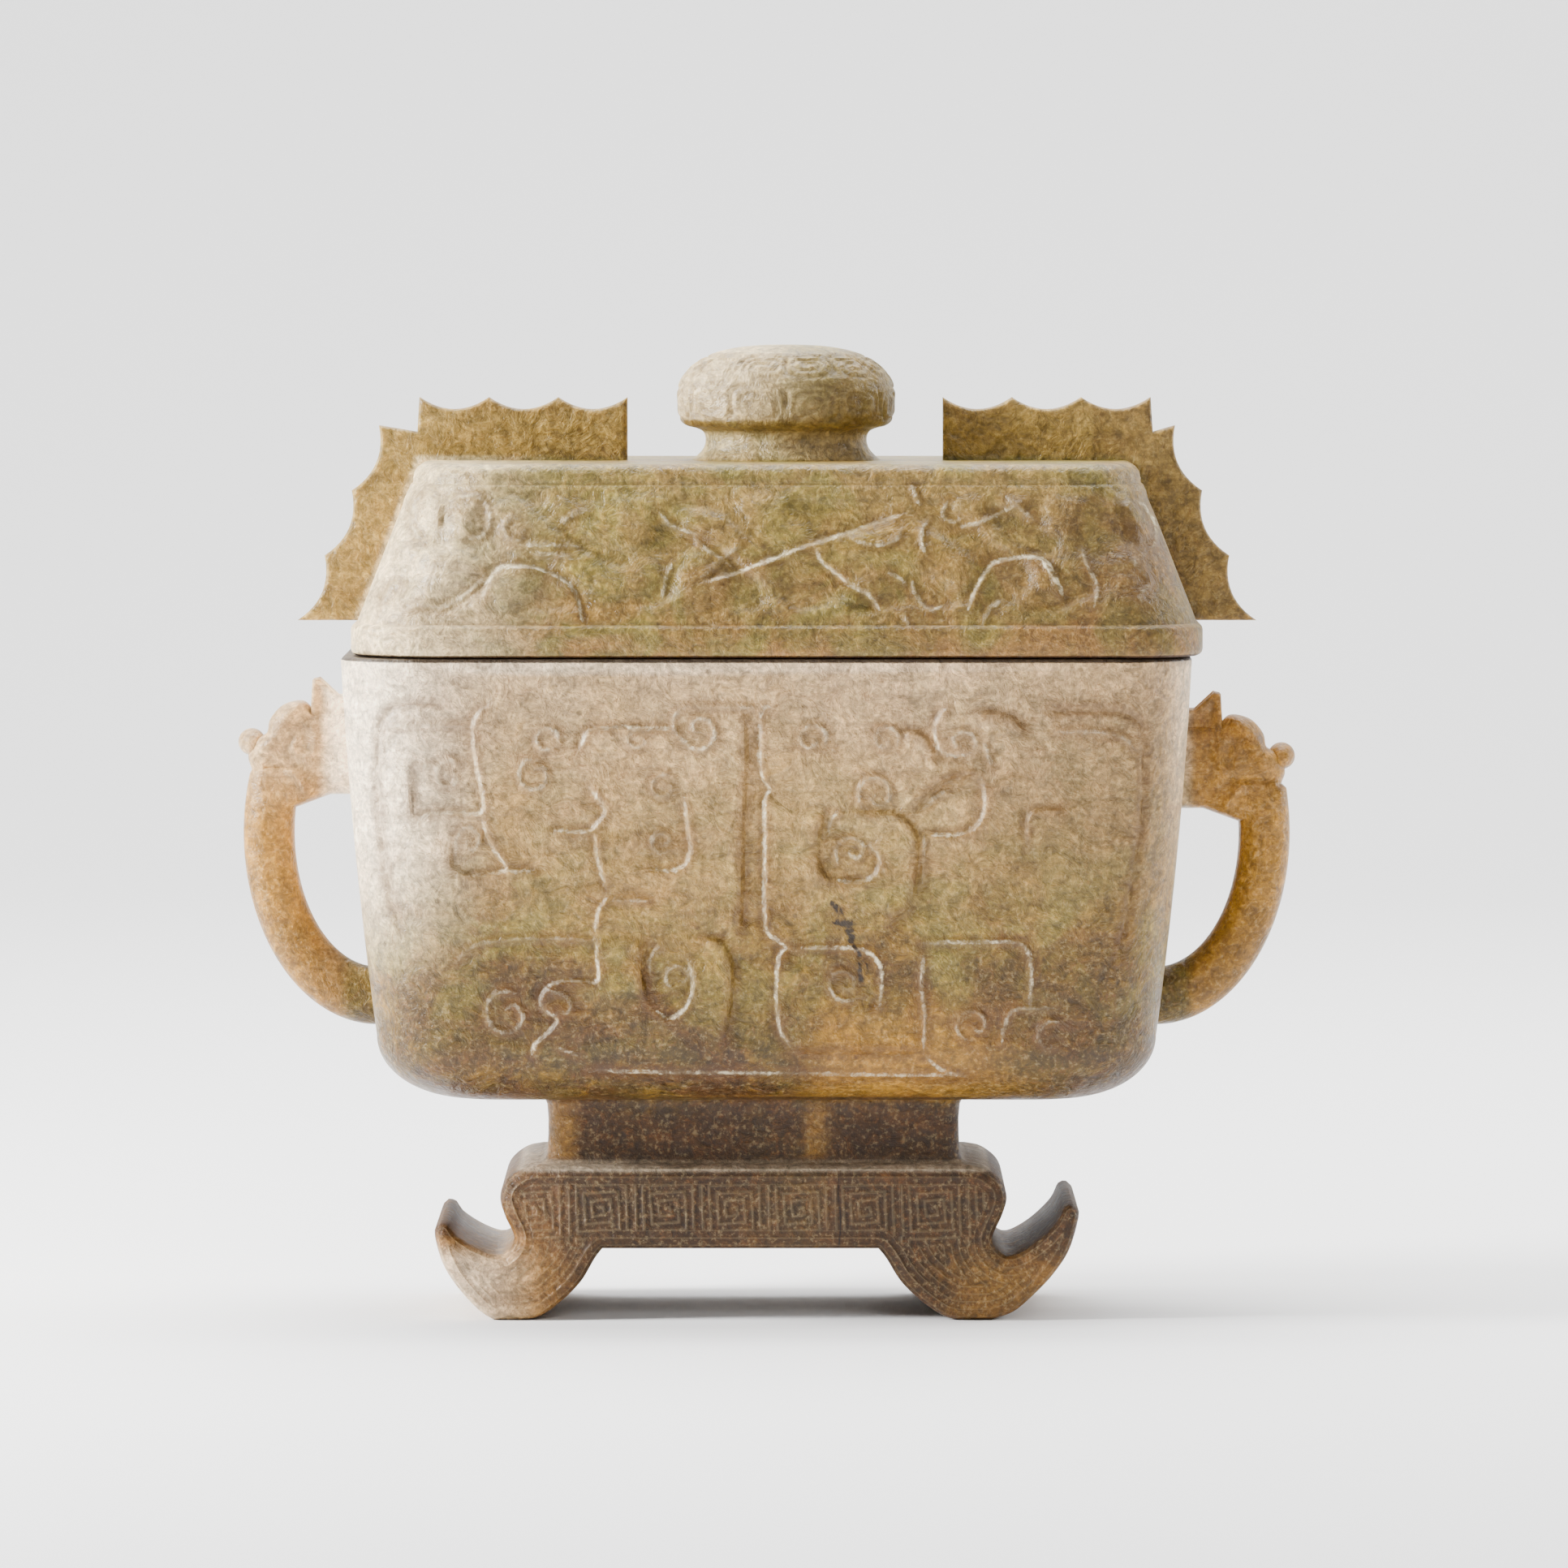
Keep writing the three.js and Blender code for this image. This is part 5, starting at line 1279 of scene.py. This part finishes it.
class VaseLidSettings(bpy.types.PropertyGroup):
    relief: size_setting("Relief", "How far the carving stands off the hood", 0.0008)
    green: colour_setting("Green", "Olive clouds in the stone", "#686127")
    ochre: colour_setting("Ochre", "Wide ochre clouds", "#7d5c1c")
    amber: colour_setting("Amber", "Amber stone of the flanges", "#90753a")
    dark: colour_setting("Dark", "Brown stone near the right end", "#4c3110")
    # The pale colour also stands for a painted highlight on the left side of the knob.
    pale: colour_setting("Pale", "Creamy stone of the left end", "#f8e0b2")
    brown: colour_setting("Brown", "Brown stain in the grain", "#5c3f18")
    fleck: colour_setting("Fleck", "Fine pale network", "#c6b27e")
    # The line colour is a painted highlight on carved edges that face the light, partly pale worn stone.
    line: colour_setting("Line", "Pale worn edges of the carving", "#ebdeb9")
    # The shadow colour is painted shade on carved walls turned from the light and in grooves; it also darkens the
    # small pits.
    shadow: colour_setting("Shadow", "Dirt held in the carving", "#452e12")
    # The stain colour is painted shade along the lid's lower edge at the seam, and a dark line round the crease
    # under the knob's belly.
    stain: colour_setting("Stain", "Dirt in the seam", "#2b160a")
    roughness: bpy.props.FloatProperty(name="Roughness", description="Polish of the stone", default=0.36, min=0,
                                       max=1, subtype="FACTOR")


class VaseStageSettings(bpy.types.PropertyGroup):
    floor: colour_setting("Floor", "Plain pale floor and backdrop", "#efefef")
    distance: bpy.props.FloatProperty(name="Camera distance", description="From the vase's middle to the camera",
                                      default=2.04, min=0.5, unit="LENGTH")
    lens: bpy.props.FloatProperty(name="Lens", description="Focal length in millimetres", default=253.4, min=20)
    key: bpy.props.FloatProperty(name="Key light", description="Power of the soft light at the upper left",
                                 default=21.0, min=0, unit="POWER")


# Zones painted on a piece: how amber, dark and pale it is at each point; the dark zone also holds painted shade
# and the pale zone painted highlights

STAINS = [
    ("inclusion head", 0.8, 0.95, [(12, 77.6), (12.6, 77), (13.2, 76.2)]),
    ("inclusion cross", 0.45, 0.85, [(12, 74.2), (14, 73.6), (15.6, 74)]),
    ("inclusion middle", 0.9, 0.95, [(14, 74.4), (15.2, 72.6), (15.4, 70.8)]),
    ("inclusion tail", 0.45, 0.85, [(15.6, 70.2), (17, 68), (16.8, 65.6), (17.6, 63.4)]),
    ("inclusion foot", 0.7, 0.8, [(17, 64.6), (17.4, 63.2)]),
    ("inclusion hair", 0.3, 0.7, [(16.6, 68), (18.2, 66.6), (18.4, 65)]),
    ("stand crack", 0.32, 0.8, [(13.4, 27.6), (13.2, 23), (13.6, 18), (13.3, 14)]),
]


def vessel_stains_and_seam_shade(points):
    """Colour that lies in the stone itself, and painted shade along the seam under the lid."""
    # Painted shade along the rim, in the seam under the lid.
    amount = 0.9 * soft_step(RIM - 0.9, RIM - 0.5, points[:, 2]) * (np.abs(points[:, 0]) < RIM_LENGTH / 2 + 1)
    front = np.flatnonzero(points[:, 1] < -20)
    for _, width, strength, line in STAINS:
        away = gap_to_line(points[front, 0], points[front, 2], smooth_line(line))[0]
        amount[front] = np.maximum(amount[front], strength * np.exp(-(away / width) ** 2))
    return amount


def vessel_zones(points):
    x, y, z = points.T
    amber = soft_step(77, 80, np.abs(x)) * soft_step(44, 56, z)
    amber *= np.where(x < 0, 1 - 0.5 * soft_step(90, 104, z), 1.0)
    amber = np.maximum(amber, 0.9 * soft_step(28, 44, np.abs(x - STAND_CENTRE)) * (1 - soft_step(8, 18, z)))
    amber = np.maximum(amber, 0.85 * soft_step(4, 14, x) * (1 - soft_step(30, 52, x)) * soft_step(38, 44, z)
                       * (1 - soft_step(50, 66, z)))
    dark = 1 - soft_step(37.5, 41.5, z)
    feet = soft_step(31, 42, np.abs(x - STAND_CENTRE)) * (1 - soft_step(8, 16, z))
    dark *= 1 - np.where(x < STAND_CENTRE, 0.9, 0.42) * feet
    dark *= np.where(x < STAND_CENTRE, 1 - 0.55 * soft_step(26, 46, STAND_CENTRE - x), 1.0)
    dark *= 1 - 0.3 * np.exp(-((x - 5) / 9) ** 2)
    on_neck = soft_step(STAND_TOP, STAND_TOP + 1.5, z) * (1 - soft_step(38.5, 40.5, z))
    warm = np.exp(-((x - 9) / 2.4) ** 2) + soft_step(33, 36, -x)
    dark *= 1 - 0.6 * on_neck * np.minimum(warm, 1)
    amber = np.maximum(amber, 0.7 * on_neck * np.minimum(warm, 1))
    # Painted shade on the upturned tips of the feet, whose inner faces lie under the stand.
    hook = soft_step(47, 50, np.abs(x - STAND_CENTRE)) * soft_step(13, 17, z) * (1 - soft_step(26, 28, z))
    dark = np.maximum(dark, 0.85 * hook)
    # Painted highlight along the stand's top edge and the foot of the neck, where the light from above falls.
    top_edge_highlight = soft_step(STAND_TOP - 1.6, STAND_TOP - 0.6, z) * (1 - soft_step(STAND_TOP + 0.2, STAND_TOP + 1, z))
    pale = soft_step(46, 76, -x) * soft_step(58, 96, z) * (1 - soft_step(79, 84, -x))
    pale = np.maximum(pale, 0.15 * soft_step(78, 82, -x) * soft_step(88, 106, z))
    # Painted highlight on the body's right corner, where the edge light falls.
    pale = np.maximum(pale, 0.2 * soft_step(72, 76.5, x) * (1 - soft_step(77.5, 79, x)) * soft_step(70, 105, z))
    pale = np.maximum(pale, 0.6 * soft_step(36, 54, STAND_CENTRE - x) * (1 - soft_step(9, 15, z)))
    pale = np.maximum(pale, 0.3 * top_edge_highlight * (np.abs(x) < 60))
    arm = soft_step(77, 80, np.abs(x)) * soft_step(44, 50, z)
    dark = np.maximum(dark, 0.35 * arm * (1 - soft_step(58, 86, z)))
    dark = np.maximum(dark, 0.2 * arm * soft_step(96, 102, z) * (x > 0))
    # Painted shade: the upper front of the body darker towards the right, away from the key light, and, in
    # foot_shade, low on its right just above the neck.
    painted_shade_right = soft_step(28, 58, x) * (1 - soft_step(71, 76, x))
    painted_shade_right = painted_shade_right * soft_step(70, 84, z) * (1 - soft_step(112, 121, z))
    dark = np.maximum(dark, 0.42 * painted_shade_right * (y < 0))
    foot_shade = soft_step(24, 52, x) * soft_step(39, 41, z) * (1 - soft_step(46, 58, z)) * (x < 79)
    dark = np.maximum(dark, 0.3 * foot_shade)
    return np.stack([amber, dark, pale, vessel_stains_and_seam_shade(points)], 1)


def lid_zones(points):
    x, y, z = points.T
    end = hood_half(RIM_LENGTH, RIM_LENGTH - 2 * HOOD_SLOPE_ENDS, np.minimum(z, LID_TOP)) + 0.6
    flange = np.maximum(soft_step(0, 1.2, np.abs(x - LID_SHIFT) - end) * (z > 126),
                        soft_step(LID_TOP + 0.2, LID_TOP + 1.2, z) * (np.abs(x - KNOB_AXIS) > 24))
    flange *= np.abs(y) < 3.2
    amber = flange
    dark = 0.45 * soft_step(26, 62, x - LID_SHIFT) * (1 - soft_step(146, 154, z))
    dark = np.maximum(dark, 0.4 * flange * (x > 60))
    pale = 0.66 * soft_step(36, 74, LID_SHIFT - x) * (1 - flange)
    neck = (np.abs(x - KNOB_AXIS) < 20) * soft_step(LID_TOP, LID_TOP + 0.6, z) * (1 - soft_step(162, 163.5, z))
    pale = np.maximum(pale, 0.2 * neck)
    # Painted highlight: the left side of the knob paler, where the light falls.
    knob = (z > FLANGE_TOP - 4) * (np.abs(x - KNOB_AXIS) < KNOB_HALF + 0.7)
    knob = knob * soft_step(-12, 15, KNOB_AXIS - x) * soft_step(LID_TOP + 5, LID_TOP + 7, z)
    pale = np.maximum(pale, 0.65 * knob)
    # Painted shade along the lid's lower edge at the seam, and a dark line round the crease under the knob's
    # belly.
    seam = 0.9 * (1 - soft_step(RIM + 0.35, RIM + 0.75, z))
    seam = np.maximum(seam, 0.45 * np.exp(-((z - LID_TOP - 5.6) / 0.5) ** 2) * (np.abs(x - KNOB_AXIS) < 19))
    return np.stack([amber, dark, pale, seam], 1)


def paint_carving(piece, strokes, edge_of, mirror_about=0.0):
    """Stores the gap to the nearest carved line, the line's tone (a painted highlight above 0, painted shade below
    0), and the gap to the plate's edge.
    """
    points = get_points(piece.data)
    front = points[:, 1] < 0
    x = np.where(front, points[:, 0], 2 * mirror_about - points[:, 0])
    gap = np.full(len(points), GAP_REACH)
    tone = np.zeros(len(points))
    for chosen, lines in ((front, strokes), (~front, plainer(strokes))):
        near = np.flatnonzero(chosen & (np.abs(points[:, 1]) > 20))
        gap[near], tone[near] = carve(x[near], points[near, 2], lines, 1.0)[1:]
    knob = np.flatnonzero(points[:, 2] > LID_TOP + 6)
    knob = knob[np.abs(points[knob, 0] - KNOB_AXIS) < KNOB_HALF + 1]
    if len(knob):
        x, y, z = points[knob].T
        around, up = knob_unrolled(x - KNOB_AXIS, y / KNOB_FLATNESS, z)
        gap[knob], tone[knob] = carve(around, up, knob_frets()[0], 1.0)[1:]
    paint(piece, "carving", np.stack([gap / GAP_REACH, tone / 2 + 0.5, edge_of(points), np.ones(len(points))], 1))


# Operators

# Most triangles in the parts of a piece, before they are joined
VESSEL_TRIANGLES = 194000
LID_TRIANGLES = 190000


class JADE_OT_vessel(bpy.types.Operator):
    """Builds the vessel: carved body, neck, scrolled stand and two handles in one stone"""
    bl_idname = "jade_vase.vessel"
    bl_label = "Vessel"

    def execute(self, context):
        looks = context.scene.jade_vessel
        lift = looks.relief / MM
        rest = [neck_mesh(), stand_mesh(), *handle_meshes(1), *handle_meshes(-1)]
        body = thinned(body_mesh(lift), VESSEL_TRIANGLES - sum(map(triangles, rest)))
        piece = fused([body, *rest], "vessel_stone")
        outline = stand_outline()

        def stand_edge(points):
            edge = np.zeros(len(points))
            low = np.flatnonzero(points[:, 2] < STAND_TOP + 0.2)
            edge[low] = outline_gap(points[low, 0], points[low, 2], even_outline(outline, 1.0)) / 10
            return np.clip(edge, 0, 1)

        paint_carving(piece, BODY_STROKES, stand_edge)
        paint(piece, "zones", vessel_zones(get_points(piece.data)))
        stops = [(0.0, "#8a5f2e"), (0.08, "#563a20"), (0.22, "#3c2408"), (0.27, "#46300b"), (0.33, "#523b10"),
                 (0.39, "#765a24"), (0.46, "#957540"), (0.54, "#ad8b59"), (0.68, "#b89873")]
        finished(piece, "vessel", stone("Nephrite, olive to cream", stops, looks))
        return {"FINISHED"}


class JADE_OT_lid(bpy.types.Operator):
    """Builds the lid: carved hood with its ledge, oval knob and scalloped flanges in one stone"""
    bl_idname = "jade_vase.lid"
    bl_label = "Lid"

    def execute(self, context):
        looks = context.scene.jade_lid
        rest = [knob_mesh(), flange_mesh(1), flange_mesh(-1)]
        hood = thinned(hood_mesh(looks.relief / MM), LID_TRIANGLES - sum(map(triangles, rest)))
        piece = fused([hood, *rest], "lid_stone")
        paint_carving(piece, LID_STROKES, lambda points: np.zeros(len(points)), LID_SHIFT)
        paint(piece, "zones", lid_zones(get_points(piece.data)))
        stops = [(0.66, "#845f2c"), (0.69, "#775a28"), (0.75, "#71562a"), (0.8, "#78602e"), (0.85, "#7c6432"),
                 (0.89, "#7c6834"), (0.93, "#92804e"), (1.0, "#94824f")]
        finished(piece, "lid", stone("Nephrite, olive green", stops, looks))
        return {"FINISHED"}


# Stage, in metres. Each light: name, place, what it points at, its size, and its share of the key light's setting.
LIGHTS = [
    ("key", (-0.76, -0.16, 0.42), (-0.02, 0, 0.09), (0.24, 0.28), 1.15),
    ("fill", (0.5, -1.7, 1.1), (0, 0, 0.08), (1.2, 0.9), 0.58),
    ("edge", (0.8, 0.3, 0.35), (0.05, 0, 0.09), (0.3, 0.5), 0.26),
    ("top", (0, 0.45, 1.3), (0, 0.2, 0), (1.3, 1.2), 1.9),
    ("backdrop", (0, 0.3, 1.9), (0, 2.0, 0.6), (2.4, 0.8), 2.9),
]
FLOOR_HALF = 4.0
BACKDROP_AT = 1.2
BACKDROP_BEND = 0.8
ROOM_STRENGTH = 0.24
CAMERA_SIDE = 0.0032
CAMERA_HEIGHT = 0.205
CAMERA_DIP = 3.03


class JADE_OT_stage(bpy.types.Operator):
    """Builds the plain floor with its curved backdrop, the soft lights and the camera"""
    bl_idname = "jade_vase.stage"
    bl_label = "Stage"

    def execute(self, context):
        looks = context.scene.jade_stage
        shape = bmesh.new()
        profile = [(-FLOOR_HALF, 0.0), (BACKDROP_AT, 0.0)]
        profile += [(BACKDROP_AT + BACKDROP_BEND * math.sin(a), BACKDROP_BEND * (1 - math.cos(a)))
                    for a in np.linspace(0.1, math.pi / 2, 24)]
        profile.append((BACKDROP_AT + BACKDROP_BEND, FLOOR_HALF))
        line = [shape.verts.new((-FLOOR_HALF, y, z)) for y, z in profile]
        edges = [shape.edges.new(pair) for pair in zip(line, line[1:])]
        swept = bmesh.ops.extrude_edge_only(shape, edges=edges)["geom"]
        far = [v for v in swept if isinstance(v, bmesh.types.BMVert)]
        bmesh.ops.translate(shape, vec=(2 * FLOOR_HALF, 0, 0), verts=far)
        bmesh.ops.recalc_face_normals(shape, faces=shape.faces)
        mesh = bpy.data.meshes.new("floor")
        shape.to_mesh(mesh)
        shape.free()
        mesh.polygons.foreach_set("use_smooth", np.ones(len(mesh.polygons), bool))
        floor = hold(mesh)
        material = bpy.data.materials.new("Matt painted board")
        material.use_nodes = True
        tree = material.node_tree
        tree.nodes.clear()
        place = node(tree, "ShaderNodeTexCoord").outputs["Object"]
        tint = blend(tree, noise(tree, place, 300, 2), looks.floor, linear("#f2f2f2"))
        shader = node(tree, "ShaderNodeBsdfDiffuse", None, Color=tint, Roughness=0.0)
        node(tree, "ShaderNodeOutputMaterial", None, Surface=shader.outputs[0])
        mesh.materials.append(material)

        for name, place, aim, size, share in LIGHTS:
            lamp = bpy.data.lights.new(name, "AREA")
            lamp.shape = "RECTANGLE"
            lamp.size, lamp.size_y = size
            lamp.energy = looks.key * share
            held = bpy.data.objects.new(name, lamp)
            held.location = place
            held.rotation_euler = (Vector(aim) - Vector(place)).to_track_quat("-Z", "Y").to_euler()
            context.scene.collection.objects.link(held)
        world = bpy.data.worlds.new("Room")
        world.use_nodes = True
        back = world.node_tree.nodes["Background"]
        back.inputs[0].default_value = linear("#e6e4e1")
        back.inputs[1].default_value = ROOM_STRENGTH
        context.scene.world = world
        lens = bpy.data.cameras.new("camera")
        lens.lens = looks.lens
        lens.sensor_width = 36
        camera = bpy.data.objects.new("camera", lens)
        camera.location = (CAMERA_SIDE, -looks.distance, CAMERA_HEIGHT)
        camera.rotation_euler = (math.radians(90 - CAMERA_DIP), 0, 0)
        context.scene.collection.objects.link(camera)
        context.scene.camera = camera
        return {"FINISHED"}


class JADE_PT_vase(bpy.types.Panel):
    """Lists the pieces of the vase"""
    bl_idname = "JADE_PT_vase"
    bl_label = "Jade vase"
    bl_space_type = "VIEW_3D"
    bl_region_type = "UI"
    bl_category = "Jade vase"

    def draw(self, context):
        for operator, settings in ((JADE_OT_vessel, context.scene.jade_vessel),
                                   (JADE_OT_lid, context.scene.jade_lid),
                                   (JADE_OT_stage, context.scene.jade_stage)):
            box = self.layout.box()
            box.operator(operator.bl_idname)
            for name in settings.__annotations__:
                box.prop(settings, name)


CLASSES = (VaseVesselSettings, VaseLidSettings, VaseStageSettings, JADE_OT_stage, JADE_OT_vessel, JADE_OT_lid,
           JADE_PT_vase)


def register():
    for cls in CLASSES:
        bpy.utils.register_class(cls)
    bpy.types.Scene.jade_vessel = bpy.props.PointerProperty(type=VaseVesselSettings)
    bpy.types.Scene.jade_lid = bpy.props.PointerProperty(type=VaseLidSettings)
    bpy.types.Scene.jade_stage = bpy.props.PointerProperty(type=VaseStageSettings)


def unregister():
    for name in ("jade_vessel", "jade_lid", "jade_stage"):
        delattr(bpy.types.Scene, name)
    for cls in reversed(CLASSES):
        bpy.utils.unregister_class(cls)


def main():
    register()
    bpy.ops.jade_vase.stage()
    bpy.ops.jade_vase.vessel()
    bpy.ops.jade_vase.lid()


if __name__ == "__main__":
    main()
